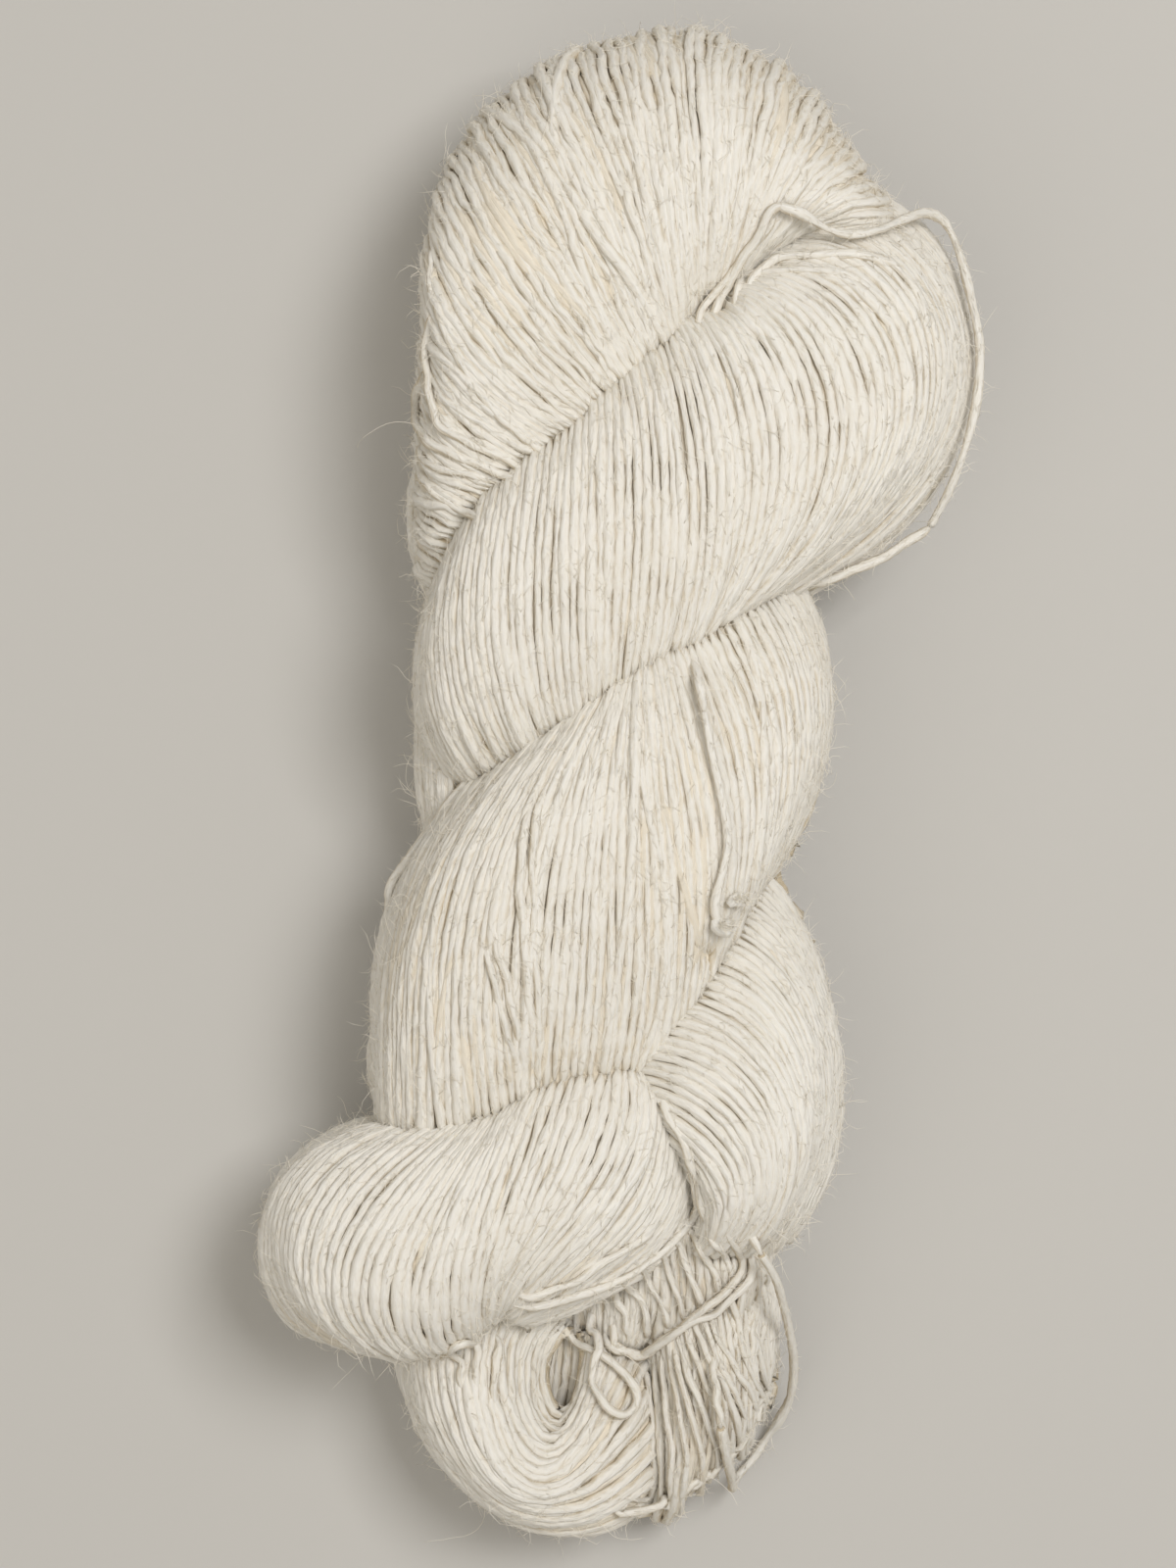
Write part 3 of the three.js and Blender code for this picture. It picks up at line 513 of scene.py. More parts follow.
def rows_at(table, places):
    """Smooth rows between a table's rows, by a Catmull-Rom spline over the row number."""
    last = len(table) - 1
    padded = np.vstack([2 * table[0] - table[1], table, 2 * table[-1] - table[-2]])
    i = np.clip(np.floor(places).astype(int), 0, last - 1)
    t = (places - i)[..., None]
    p0, p1, p2, p3 = (padded[i + k] for k in range(4))
    bend = (2 * p0 - 5 * p1 + 4 * p2 - p3) * t**2 + (3 * p1 - p0 - 3 * p2 + p3) * t**3
    return p1 + 0.5 * ((p2 - p0) * t + bend)


def turn_points(rows, angle):
    """Points of turns: over the top from a to b for the first half of the way round, and back underneath.

    Seen from above, each is the cubic through a, p, q and b, which it reaches at w = 0, 1/3, 2/3 and 1.
    """
    w = (1 - np.cos(angle)) / 2
    side = np.sin(angle)
    from_a = -4.5 * (w - 1 / 3) * (w - 2 / 3) * (w - 1)
    from_p = 13.5 * w * (w - 2 / 3) * (w - 1)
    from_q = -13.5 * w * (w - 1 / 3) * (w - 1)
    from_b = 4.5 * w * (w - 1 / 3) * (w - 2 / 3)
    ax, ay, px, py, qx, qy, bx, by, az, bz, top, low = np.moveaxis(rows, -1, 0)
    edge = az + (bz - az) * w
    reach = np.where(side > 0, np.maximum(top - edge, 0), np.maximum(edge - low, 0))
    x = from_a * ax + from_p * px + from_q * qx + from_b * bx
    y = from_a * ay + from_p * py + from_q * qy + from_b * by
    return np.stack([x, y, edge + reach * side], axis=-1)


def closed_at_ends(table):
    """The table with a row more at each end, where the turns run together at mid-height and close it."""
    def pinched(row, inner):
        end = row + 0.15 * (row - inner)
        end[COLUMNS.index("top")] = end[COLUMNS.index("low")] = (row[-2] + row[-1]) / 2
        end[COLUMNS.index("az")] = end[COLUMNS.index("bz")] = (row[-2] + row[-1]) / 2
        return end

    return np.vstack([pinched(table[0], table[1]), table, pinched(table[-1], table[-2])])


def skin(table, places, angle):
    """Points of a lobe's surface, from row numbers and the way round each turn."""
    places = np.clip(places, 0, len(table) - 1)
    return turn_points(rows_at(table, places), angle)


def unit(vectors):
    return vectors / np.maximum(np.linalg.norm(vectors, axis=-1, keepdims=True), 1e-9)


def directions(table, places, angle):
    """The way across a turn to the next row and the way out of the lobe, at each point of its skin."""
    step = 0.01
    along = unit(skin(table, places, angle + step) - skin(table, places, angle - step))
    low, high = np.clip(places - step, 0, len(table) - 1), np.clip(places + step, 0, len(table) - 1)
    across = (skin(table, high, angle) - skin(table, low, angle)) / (high - low)[..., None]
    across -= (across * along).sum(-1, keepdims=True) * along
    out = unit(np.cross(along, across))
    middle = skin(table, places, angle).mean(axis=1, keepdims=True)
    facing = ((skin(table, places, angle) - middle) * out).sum()
    return across, out if facing > 0 else -out


def turn_places(table, pitch):
    """Row numbers of turns that lie a pitch apart where the lobe is widest."""
    fine = np.linspace(0, len(table) - 1, 500)
    angle = np.linspace(0, 2 * math.pi, 60, endpoint=False)
    places, angles = np.meshgrid(fine, angle, indexing="ij")
    across, _ = directions(table, places, angles)
    width = np.percentile(np.linalg.norm(across, axis=-1), 75, axis=1)
    reach = np.concatenate([[0], np.cumsum((width[1:] + width[:-1]) / 2 * np.diff(fine))])
    count = int(reach[-1] / pitch)
    return np.interp((np.arange(count) + 0.5) / count * reach[-1], reach, fine)


def ripple(rng, count, angle, waves):
    """Smooth noise of about unit size along each of count turns, from whole waves round the turn."""
    total = np.zeros((count, len(angle)))
    for wave in waves:
        size = rng.normal(size=(count, 1))
        total += size * np.cos(wave * angle + rng.uniform(0, 2 * math.pi, (count, 1)))
    return total / math.sqrt(len(waves) / 2)


def shared(noise, reach):
    """Noise that neighbouring turns share, over a reach counted in turns."""
    span = np.arange(-3 * reach, 3 * reach + 1)
    weights = np.exp(-0.5 * (span / reach) ** 2)
    weights /= math.sqrt((weights**2).sum())
    padded = np.pad(noise, ((3 * reach, 3 * reach), (0, 0)), mode="reflect")
    return sum(w * padded[k:k + len(noise)] for k, w in enumerate(weights))


def spread_ranks(count):
    """A rank from 0 to 1 for each turn, so that those under any limit are evenly spread among the rest."""
    ranks = np.zeros(count)
    for i in range(count):
        base, number = 0.5, i
        while number:
            ranks[i] += base * (number % 2)
            number //= 2
            base /= 2
    return ranks


def creases(rng, count, angle):
    """Grooves between bunches of turns, 0 to 1 deep, that come and go along the turns."""
    depth = np.zeros((count, len(angle)))
    turn = rng.integers(3, 8)
    while turn < count:
        come_and_go = 0.5 + 0.5 * ripple(rng, 1, angle, (1, 2, 3))[0]
        away = np.abs(np.arange(count) - turn - 0.5)
        depth += np.exp(-((away / 1.1) ** 2))[:, None] * np.clip(come_and_go, 0, 1)
        turn += rng.integers(5, 12)
    return np.minimum(depth, 1)


def smooth_step(value):
    value = np.clip(value, 0, 1)
    return value * value * (3 - 2 * value)


def pit_depth(points):
    """How far the hollows between turns draw each point down."""
    depth = np.zeros(points.shape[:-1])
    for x, y, reach, deep in PITS:
        away = np.hypot(points[..., 0] - x, points[..., 1] - y)
        depth = np.maximum(depth, deep * np.exp(-((away / reach) ** 2)))
    return np.where(points[..., 2] > PIT_FLOOR, depth, 0)


def drifts(rng, count, order, riders, angle, relief):
    """How far each turn strays sideways: with its neighbours, by itself, and most where it rides."""
    drift = SHARED_DRIFT * shared(ripple(rng, count, angle, (1, 2, 3)), 6)[order]
    drift += OWN_DRIFT * ripple(rng, len(order), angle, (2, 3, 4))
    for size, waves in KINKS:
        drift += size * relief * ripple(rng, len(order), angle, waves)
    drift[riders] += RIDER_DRIFT * ripple(rng, riders.sum(), angle, (1, 2, 3))
    return drift


def lifts(rng, count, order, riders, angle, relief, spacing):
    """How far each turn stands over the lobe's skin: bunched, creased, and sunk where it has no room."""
    bunched = shared(ripple(rng, count, angle, (2, 3, 4)), 5)[order]
    lift = relief * (BUNCHED_LIFT * bunched + OWN_LIFT * ripple(rng, len(order), angle, (4, 6, 9, 13)))
    lift -= relief * CREASE_DEPTH * creases(rng, count, angle)[order]
    crowded = (spread_ranks(count)[order][:, None] - spacing / LEAST_ROOM) / 0.3
    lift -= CROWDED_DEPTH * smooth_step(crowded)
    lift[riders] += RIDER_LIFT
    return lift


def wind_lobe(name, rng, layer):
    """The turns of one lobe: their points, their outward directions and their radii, one row for each turn.

    The last few turns ride over the others and cross them.
    """
    table = closed_at_ends(np.array(LOBES[name], float))
    pitch, diameter, wander, relief, ragged, _ = LAY[name]
    places = turn_places(table, pitch * layer["spread"])
    count = len(places)
    ridden = rng.choice(count, int(count * (0.02 + 0.05 * relief)), replace=False)
    order = np.concatenate([np.arange(count), ridden])
    riders = np.arange(len(order)) >= count
    angle = np.linspace(0, 2 * math.pi, TURN_SAMPLES, endpoint=False)
    grid, angles = np.meshgrid(places[order], angle, indexing="ij")
    across, _ = directions(table, grid, angles)
    width = np.maximum(np.linalg.norm(across, axis=-1), 0.3)
    spacing = np.gradient(places)[order][:, None] * width
    drift = drifts(rng, count, order, riders, angle, relief) * wander * np.clip(spacing / pitch, 0.2, 1)
    lift = lifts(rng, count, order, riders, angle, relief, spacing) - layer["sink"]
    moved = grid + drift / width
    _, out = directions(table, np.clip(moved, 0.02, len(table) - 1.02), angles)
    points = skin(table, moved, angles) + lift[..., None] * out
    reach_out = unit(skin(table, grid, angles * 0 + math.pi) - skin(table, grid, angles * 0))
    far_half = smooth_step(((1 - np.cos(angles)) / 2 - 0.45) / 0.4)
    uneven = ragged * np.clip(rng.normal(size=(len(order), 1)), -1.6, 1.2)
    points += (uneven * far_half)[..., None] * reach_out * np.array([1, 1, 0])
    thickness = 0.95 + 0.13 * ripple(rng, len(order), angle, (3, 5, 8, 12))
    thickness += 0.05 * ripple(rng, len(order), angle, (30, 37, 44))
    thickness *= np.clip(rng.normal(1, 0.1, (len(order), 1)), 0.8, 1.25) * np.clip(spacing / pitch, 1, 1.12)
    radii = np.clip(diameter / 2 * thickness, THINNEST, THICKEST)
    points[..., 2] -= pit_depth(points)
    points[..., 2] = np.maximum(points[..., 2], radii * RESTING_HEIGHT)
    return points, out, radii


def held_close(solid, points):
    """The points, drawn in where they stand too far off the solid, and how deep each lies inside it."""
    held, depths = points.copy(), np.empty(len(points))
    for i, point in enumerate(points):
        spot, normal, _, distance = solid.find_nearest(point)
        inside = (Vector(point) - spot).dot(normal) < 0
        depths[i] = distance if inside else -distance
        if not inside and distance > STAND_OFF:
            held[i] = np.array(spot) + (point - np.array(spot)) * STAND_OFF / distance
    return held, depths


def evenly(points, extras, closed, step):
    """Points at even steps along a line, with the extra values that go with them."""
    if closed:
        points = np.vstack([points, points[:1]])
        extras = np.vstack([extras, extras[:1]])
    along = np.concatenate([[0], np.cumsum(np.linalg.norm(np.diff(points, axis=0), axis=1))])
    steps = max(int(along[-1] / step), 3)
    at = np.linspace(0, along[-1], steps + 1)[: steps if closed else steps + 1]
    joined = np.hstack([points, extras])
    return np.stack([np.interp(at, along, column) for column in joined.T], axis=1)


def strand(points, out, radii, closed, tint, taper=(0.35, 0.75, 1)):
    """A strand's middle line, outward direction, radius and tone at each point, and how its ends taper."""
    return {"points": points, "out": out, "radii": radii, "closed": closed, "tint": tint, "taper": taper}


def shown_strands(points, out, radii, solid, layer, paleness, rng):
    """The stretches of turns that show, or lie just under what shows."""
    strands = []
    for turn in range(len(points)):
        extras = np.hstack([out[turn], radii[turn][:, None]])
        line = evenly(points[turn], extras, True, layer["step"])
        line[:, :3], depths = held_close(solid, line[:, :3])
        shows = depths - pit_depth(line[:, :3]) < layer["hidden"]
        # Painted shade: a turn lying deeper in the hank is painted darker and warmer, one that stands high
        # paler
        painted_shade = PAINTED_SHADE_BY_DEPTH * np.clip(depths - layer["sink"], -0.6, 1.2)
        tints = paleness + rng.uniform(-0.05, 0.05) - painted_shade
        line = np.hstack([line, tints[:, None]])
        if shows.all():
            strands.append(strand(line[:, :3], line[:, 3:6], line[:, 6], True, line[:, 7]))
            continue
        if not shows.any():
            continue
        start = int(np.argmin(shows))
        line, shows = np.roll(line, -start, axis=0), np.roll(shows, -start)
        edges = np.flatnonzero(np.diff(np.concatenate([[0], shows.astype(int), [0]])))
        for first, last in zip(edges[::2], edges[1::2]):
            if last - first >= SHORTEST_STRETCH / layer["step"]:
                part = line[first:last]
                strands.append(strand(part[:, :3], part[:, 3:6], part[:, 6], False, part[:, 7]))
    return strands


def steadied(out, tangent):
    """The outward directions square to the strand, each kept from turning over against the one before."""
    out = unit(out - (out * tangent).sum(-1, keepdims=True) * tangent)
    for i in range(1, len(out)):
        if out[i] @ out[i - 1] < LEAST_AGREEMENT:
            kept = out[i - 1] - (out[i - 1] @ tangent[i]) * tangent[i]
            out[i] = kept / max(np.linalg.norm(kept), 1e-9)
    return out


def swept(one, sides, rng):
    """The slightly lumpy tube of one strand, tapered at its ends and with its seam underneath.

    It gives the points, the four-sided faces, the end faces, and how far along and round each corner lies.
    """
    middle, radii, closed = one["points"], one["radii"], one["closed"]
    count = len(middle)
    if closed:
        tangent = unit(np.roll(middle, -1, axis=0) - np.roll(middle, 1, axis=0))
    else:
        tangent = unit(np.gradient(middle, axis=0))
        to_end = np.minimum(np.arange(count), np.arange(count)[::-1])
        radii = radii * np.interp(to_end, (0, 1, 2), one["taper"])
    out = steadied(one["out"], tangent)
    side = np.cross(tangent, out)
    turn = 2 * math.pi * np.arange(sides) / sides + math.pi
    ring = out[:, None] * np.cos(turn)[None, :, None] + side[:, None] * np.sin(turn)[None, :, None]
    lumpy = radii[:, None] * (1 + LUMPINESS * rng.normal(size=(count, sides)).clip(-2, 2))
    points = middle[:, None] + lumpy[..., None] * ring
    rings = np.arange(count if closed else count - 1)
    i, k = (grid.ravel() for grid in np.meshgrid(rings, np.arange(sides), indexing="ij"))
    after, beside = (i + 1) % count, (k + 1) % sides
    quads = np.stack([i * sides + k, i * sides + beside, after * sides + beside, after * sides + k], axis=1)
    caps = [] if closed else [np.arange(sides)[::-1], (count - 1) * sides + np.arange(sides)]
    gaps = np.linalg.norm(np.diff(np.vstack([middle, middle[:1]]), axis=0), axis=1)
    along = np.concatenate([[0], np.cumsum(gaps)])
    here, there, low, high = along[i], along[i + 1], k / sides, (k + 1) / sides
    spots = np.stack([here, low, here, high, there, high, there, low], axis=1).reshape(-1, 4, 2)
    return points.reshape(-1, 3), quads, caps, spots


def mesh_piece(name, points, faces, maps, material):
    """A smooth mesh of points in millimetres, with its maps, as a piece of the scene."""
    mesh = bpy.data.meshes.new(name)
    mesh.from_pydata((points * MM).tolist(), [], faces)
    for map_name, spots in maps.items():
        layer = mesh.uv_layers.new(name=map_name)
        layer.data.foreach_set("uv", spots.astype(np.float32).ravel())
    mesh.shade_smooth()
    mesh.materials.append(material)
    piece = bpy.data.objects.new(name, mesh)
    bpy.context.scene.collection.objects.link(piece)
    return piece


def strands_object(name, strands, sides, material, rng):
    """One joined mesh of all the strands, with a map along and round them and another for baking."""
    points, faces, twist_map, bake_map, tints = [], [], [], [], []
    lengths = [np.linalg.norm(np.diff(s["points"], axis=0), axis=1).sum() for s in strands]
    page = math.sqrt(sum(lengths) * YARN_GIRTH) * 1.15 + 60
    shelf_x, shelf_y, first = 0.0, 0.0, 0
    cap_faces, cap_spots = [], []
    for one in strands:
        tube, quads, caps, spots = swept(one, sides, rng)
        length = spots[..., 0].max()
        if shelf_x + length > page:
            shelf_x, shelf_y = 0.0, shelf_y + YARN_GIRTH * 1.05
        points.append(tube)
        faces.append(quads + first)
        twist_map.append(spots * np.array([1 / YARN_GIRTH, 1]))
        corner = np.array([shelf_x, shelf_y])
        bake_map.append((spots * np.array([1, YARN_GIRTH]) + corner) / page)
        for cap in caps:
            cap_faces.append((cap + first).tolist())
            cap_spots.append(np.tile(corner / page, (sides, 1)))
        tints.append(np.repeat(one["tint"], sides))
        shelf_x += length + 1
        first += len(tube)
    maps = {
        "twist": np.vstack([s.reshape(-1, 2) for s in twist_map] + cap_spots),
        "OFBake": np.vstack([s.reshape(-1, 2) for s in bake_map] + cap_spots),
    }
    piece = mesh_piece(name, np.vstack(points), np.vstack(faces).tolist() + cap_faces, maps, material)
    tint = piece.data.attributes.new("tint", "FLOAT", "POINT")
    tint.data.foreach_set("value", np.concatenate(tints).astype(np.float32))
    return piece


def linear(hex_colour):
    """An sRGB hex colour as linear red, green, blue and alpha."""
    values = [int(hex_colour[k:k + 2], 16) / 255 for k in (1, 3, 5)]
    return [v / 12.92 if v <= 0.04045 else ((v + 0.055) / 1.055) ** 2.4 for v in values] + [1]


def set_inputs(tree, node, inputs):
    """Set a node's inputs, by name or number, to values or to other nodes' outputs."""
    for key, value in inputs.items():
        if isinstance(value, bpy.types.NodeSocket):
            tree.links.new(value, node.inputs[key])
        else:
            node.inputs[key].default_value = value


def add_node(tree, kind, **inputs):
    node = tree.nodes.new(kind)
    set_inputs(tree, node, inputs)
    return node


def add_math(tree, operation, *values):
    """The result of a sum on values or other nodes' outputs."""
    node = tree.nodes.new("ShaderNodeMath")
    node.operation = operation
    set_inputs(tree, node, dict(enumerate(values)))
    return node.outputs[0]


def spun_wool(name, pale, mid, deep, sheen, groove_shade, thick=True):
    """Handspun wool: matte, its fibres lying twisted round the strand.

    The tone goes from deep to pale with the strand's tint (its own tone and, for wound turns, a painted
    shade that deepens with depth), soft patches over the hank and the fibres. The strand's sides, which lie
    in the grooves between strands, are painted darker and warmer than its top by the size of groove_shade:
    painted shade. The fibres are drawn about 0.5 mm wide, coarser than real ones, so that the render shows
    them, and stand out where it is thick.
    """
    material = bpy.data.materials.new(name)
    material.use_nodes = True
    tree = material.node_tree
    shader = tree.nodes["Principled BSDF"]
    look = {"Roughness": 0.9, "Specular IOR Level": 0.2, "Sheen Weight": sheen, "Sheen Roughness": 0.5}
    set_inputs(tree, shader, {**look, "Sheen Tint": linear("#FFF6E4")})
    fibre_map = add_node(tree, "ShaderNodeUVMap")
    fibre_map.uv_map = "twist"
    turned = add_node(tree, "ShaderNodeMapping", Vector=fibre_map.outputs["UV"])
    turned.inputs["Rotation"].default_value = (0, 0, FIBRE_SLANT)
    turned.inputs["Scale"].default_value = FIBRES_TO_A_TURN
    fibres = add_node(tree, "ShaderNodeTexNoise", Vector=turned.outputs["Vector"], Scale=1.0, Detail=4.0)
    tint = add_node(tree, "ShaderNodeAttribute")
    tint.attribute_name = "tint"
    place = add_node(tree, "ShaderNodeTexCoord")
    patches = add_node(tree, "ShaderNodeTexNoise", Vector=place.outputs["Object"], Scale=45.0, Detail=2.0)
    tone = add_math(tree, "ADD", tint.outputs["Fac"], TONE_SHIFT)
    tone = add_math(tree, "MULTIPLY_ADD", patches.outputs["Fac"], PATCH_TONE, tone)
    tone = add_math(tree, "MULTIPLY_ADD", fibres.outputs["Fac"], FIBRE_TONE, tone)
    # Painted groove shade: from the strand's top round to its sides the tone is painted darker and warmer
    if groove_shade:
        round_strand = add_node(tree, "ShaderNodeSeparateXYZ", Vector=fibre_map.outputs["UV"])
        height = add_math(tree, "PINGPONG", round_strand.outputs["Y"], 0.5)
        tone = add_math(tree, "MULTIPLY_ADD", height, groove_shade, tone)
        tone = add_math(tree, "SUBTRACT", tone, MEAN_HEIGHT * groove_shade)
    ramp = add_node(tree, "ShaderNodeValToRGB", Fac=tone)
    ramp.color_ramp.elements[0].color = linear(deep)
    ramp.color_ramp.elements[1].color = linear(pale)
    ramp.color_ramp.elements.new(0.5).color = linear(mid)
    tree.links.new(ramp.outputs["Color"], shader.inputs["Base Color"])
    if thick:
        height = fibres.outputs["Fac"]
        bump = add_node(tree, "ShaderNodeBump", Height=height, Strength=1.0, Distance=FIBRE_HEIGHT * MM)
        tree.links.new(bump.outputs["Normal"], shader.inputs["Normal"])
    return material


def aim(thing, target):
    """Turn a light towards a point."""
    direction = Vector(target) - thing.location
    thing.rotation_euler = direction.to_track_quat("-Z", "Y").to_euler()


def add_camera():
    camera_data = bpy.data.cameras.new("camera")
    camera_data.sensor_fit = "VERTICAL"
    camera_data.angle = 2 * math.atan(VIEW_TALL / 2 / VIEW_HEIGHT)
    camera_data.clip_start = 0.01
    camera = bpy.data.objects.new("camera", camera_data)
    camera.location = Vector((*VIEW_CENTRE, VIEW_HEIGHT + MIDDLE_HEIGHT)) * MM
    bpy.context.scene.collection.objects.link(camera)
    bpy.context.scene.camera = camera


def add_light(name, place, size, power, colour):
    light_data = bpy.data.lights.new(name, "AREA")
    light_data.size = size
    light_data.energy = power
    light_data.color = linear(colour)[:3]
    light = bpy.data.objects.new(name, light_data)
    light.location = place
    aim(light, (0, 0, 0))
    bpy.context.scene.collection.objects.link(light)


def add_studio():
    """A plain pale floor, a soft key light from the right and an even fill."""
    bpy.ops.mesh.primitive_plane_add(size=6, location=(0, 0, 0))
    floor = bpy.context.active_object
    floor.name = "floor"
    paper = bpy.data.materials.new("pale_paper")
    paper.use_nodes = True
    shader = paper.node_tree.nodes["Principled BSDF"]
    set_inputs(paper.node_tree, shader, {"Base Color": linear("#C9C8C6"), "Roughness": 0.95})
    floor.data.materials.append(paper)
    add_light("key", (0.32, 0.2, 0.95), 0.35, 5.3, "#FDFBF8")
    add_light("fill", (-0.4, -0.35, 0.95), 0.9, 2, "#FFF9EE")
    world = bpy.data.worlds.new("studio")
    world.use_nodes = True
    background = world.node_tree.nodes["Background"]
    set_inputs(world.node_tree, background, {"Color": linear("#F8F1E4"), "Strength": 0.4})
    bpy.context.scene.world = world
    bpy.context.scene.view_settings.view_transform = "Standard"


def solid_tree(node):
    """The hank's solid in millimetres, to find what lies inside it."""
    mesh = node.data
    points = [vertex.co / MM for vertex in mesh.vertices]
    return BVHTree.FromPolygons(points, [tuple(face.vertices) for face in mesh.polygons])


def add_core(node, material):
    """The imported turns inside, seen only between strands: the solid's form, under the deep layer."""
    core = bpy.data.objects.new("packed_turns", node.data.copy())
    core.data.materials.clear()
    core.data.materials.append(material)
    bpy.context.scene.collection.objects.link(core)
    bpy.ops.object.select_all(action="DESELECT")
    core.select_set(True)
    bpy.context.view_layer.objects.active = core
    bpy.ops.object.mode_set(mode="EDIT")
    bpy.ops.mesh.select_all(action="SELECT")
    bpy.ops.mesh.remove_doubles(threshold=0.01 * MM)
    bpy.ops.transform.shrink_fatten(value=-0.95 * MM)
    bpy.ops.object.mode_set(mode="OBJECT")
    points = np.array([vertex.co for vertex in core.data.vertices]) / MM
    for vertex, depth in zip(core.data.vertices, pit_depth(points) * 1.2):
        vertex.co.z -= depth * MM
    return core


def spline_points(points, steps):
    """A smooth line through points: a Catmull-Rom spline."""
    points = np.array(points, float)
    return rows_at(points, np.linspace(0, len(points) - 1, steps))


def line_strand(points, radius, rng, tint, wavy=0.0):
    """A free strand along a line of points, which may waver a little between its ends."""
    along = np.linalg.norm(np.diff(points, axis=0), axis=1).sum()
    if wavy:
        place = np.linspace(0, 2 * math.pi, len(points))
        waves = tuple(range(2, max(4, int(along / 5))))
        shy_of_ends = np.clip(np.minimum(place, place[::-1]) * 3, 0, 1)[:, None]
        points = points + wavy * ripple(rng, 3, place, waves).T * shy_of_ends
    up = np.tile([0.31, 0.17, 1.0], (len(points), 1))
    waves = tuple(range(2, max(4, int(along / 8))))
    radii = radius * (1 + 0.1 * ripple(rng, 1, np.linspace(0, 2 * math.pi, len(points)), waves)[0])
    line = evenly(points, np.hstack([up, radii[:, None]]), False, 0.8)
    return strand(line[:, :3], line[:, 3:6], line[:, 6], False, np.full(len(line), tint))


def dropped_on(solid, place, lift):
    """The point of the solid that the camera sees at a place of its middle plane, raised by the lift."""
    eye = Vector((*VIEW_CENTRE, VIEW_HEIGHT + MIDDLE_HEIGHT))
    ray = (Vector((*place, MIDDLE_HEIGHT)) - eye).normalized()
    spot, normal, _, _ = solid.ray_cast(eye, ray)
    if spot is None:
        spot, normal, _, _ = solid.find_nearest(Vector((*place, MIDDLE_HEIGHT)))
    return np.array(spot) + np.array(normal) * lift


def varied_strand(line, radius, rng):
    """A strand of its own thickness and tone that wavers a little."""
    radius *= rng.uniform(0.9, 1.1)
    return line_strand(line, radius, rng, rng.uniform(-0.08, 0.08), 0.12)


def laid_strands(solid, rng):
    """The single turns over the rest, dropped onto the hank from the view, and the free stretches."""
    strands = []
    for name, bunch in LAID_STRANDS.items():
        for points in bunch:
            rows = spline_points(points, 8 * len(points))
            line = np.array([dropped_on(solid, row[:2], row[2]) for row in rows])
            for _ in range(8):
                line[1:-1] = (line[:-2] + 2 * line[1:-1] + line[2:]) / 4
            strands.append(varied_strand(line, FINE_RADIUS if name in FINE_BUNCHES else STRAND_RADIUS, rng))
    for bunch in FREE_STRANDS.values():
        for points in bunch:
            strands.append(varied_strand(spline_points(points, 10 * len(points)), STRAND_RADIUS, rng))
    return strands


def ride_as_wool(piece):
    """Every piece rides on the hank's one body."""
    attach(piece, "root")


def add_loose_strands(material, rng):
    """The turns that have slipped off the hank, along the middle lines of their solids."""
    strands = []
    for name, points in LOOSE_STRANDS.items():
        path = spline_points(points, 12 * len(points))
        one = line_strand(path, SLACK_RADIUS, rng, 0.05)
        one["taper"] = (0.85, 1, 1)
        piece = strands_object(name + "_yarn", [one], LAID_SIDES, material, rng)
        ride_as_wool(piece)
        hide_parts(name)
        strands.append(one)
    return strands


def fibre_roots(strands, count, rng, crowd):
    """Which strands the fibres spring from and where, with no more than a crowd in each cube."""
    which = np.concatenate([np.full(len(s["points"]) - 2, k) for k, s in enumerate(strands)])
    where = np.concatenate([np.arange(1, len(s["points"]) - 1) for s in strands])
    picks = rng.integers(len(which), size=2 * count)
    points = np.vstack([s["points"][1:-1] for s in strands])[picks]
    cubes = np.unique(np.floor(points / CROWD_CUBE).astype(int), axis=0, return_inverse=True)[1].ravel()
    order = np.argsort(cubes, kind="stable")
    first = np.searchsorted(cubes[order], cubes[order])
    rank = np.empty(len(picks), int)
    rank[order] = np.arange(len(picks)) - first
    picks = picks[rank < crowd][:count]
    return which[picks], where[picks]


def fibre_paths(rng, strands, count, length, segments, stand_off, bend, crowd):
    """The bent middle lines of fibres that spring from the strands: a point at each end of every segment."""
    chosen, at = fibre_roots(strands, count, rng, crowd)
    count = len(chosen)
    middle = np.array([strands[k]["points"][i] for k, i in zip(chosen, at)])
    ahead = np.array([strands[k]["points"][i + 1] for k, i in zip(chosen, at)])
    out = unit(np.array([strands[k]["out"][i] for k, i in zip(chosen, at)]))
    radius = np.array([strands[k]["radii"][i] for k, i in zip(chosen, at)])[:, None]
    tangent = unit(ahead - middle)
    side = np.cross(tangent, out)
    heading = tangent * rng.choice([-1, 1], (count, 1)) + side * rng.normal(0, 0.8, (count, 1))
    heading = unit(heading + out * rng.uniform(*stand_off, (count, 1)))
    curl = unit(rng.normal(size=(count, 3))) * bend / segments
    step = np.minimum(rng.gamma(3, length / 3, (count, 1)), LONGEST * length) / segments
    start = middle + (ahead - middle) * rng.random((count, 1))
    paths = [start + out * radius * 0.85 + side * rng.normal(0, 0.3, (count, 1))]
    for _ in range(segments):
        paths.append(paths[-1] + heading * step)
        heading = unit(heading + curl - out * DROOP / segments)
        curl = unit(curl + 0.5 * bend / segments * rng.normal(size=(count, 3))) * bend / segments
    paths = np.stack(paths, axis=1)
    rise = np.maximum(paths[..., 2] - paths[:, :1, 2], 0)
    paths[..., 2] -= rise**2 / (rise + MOST_RISE)
    paths[..., 2] = np.maximum(paths[..., 2], LOWEST_FIBRE)
    return paths


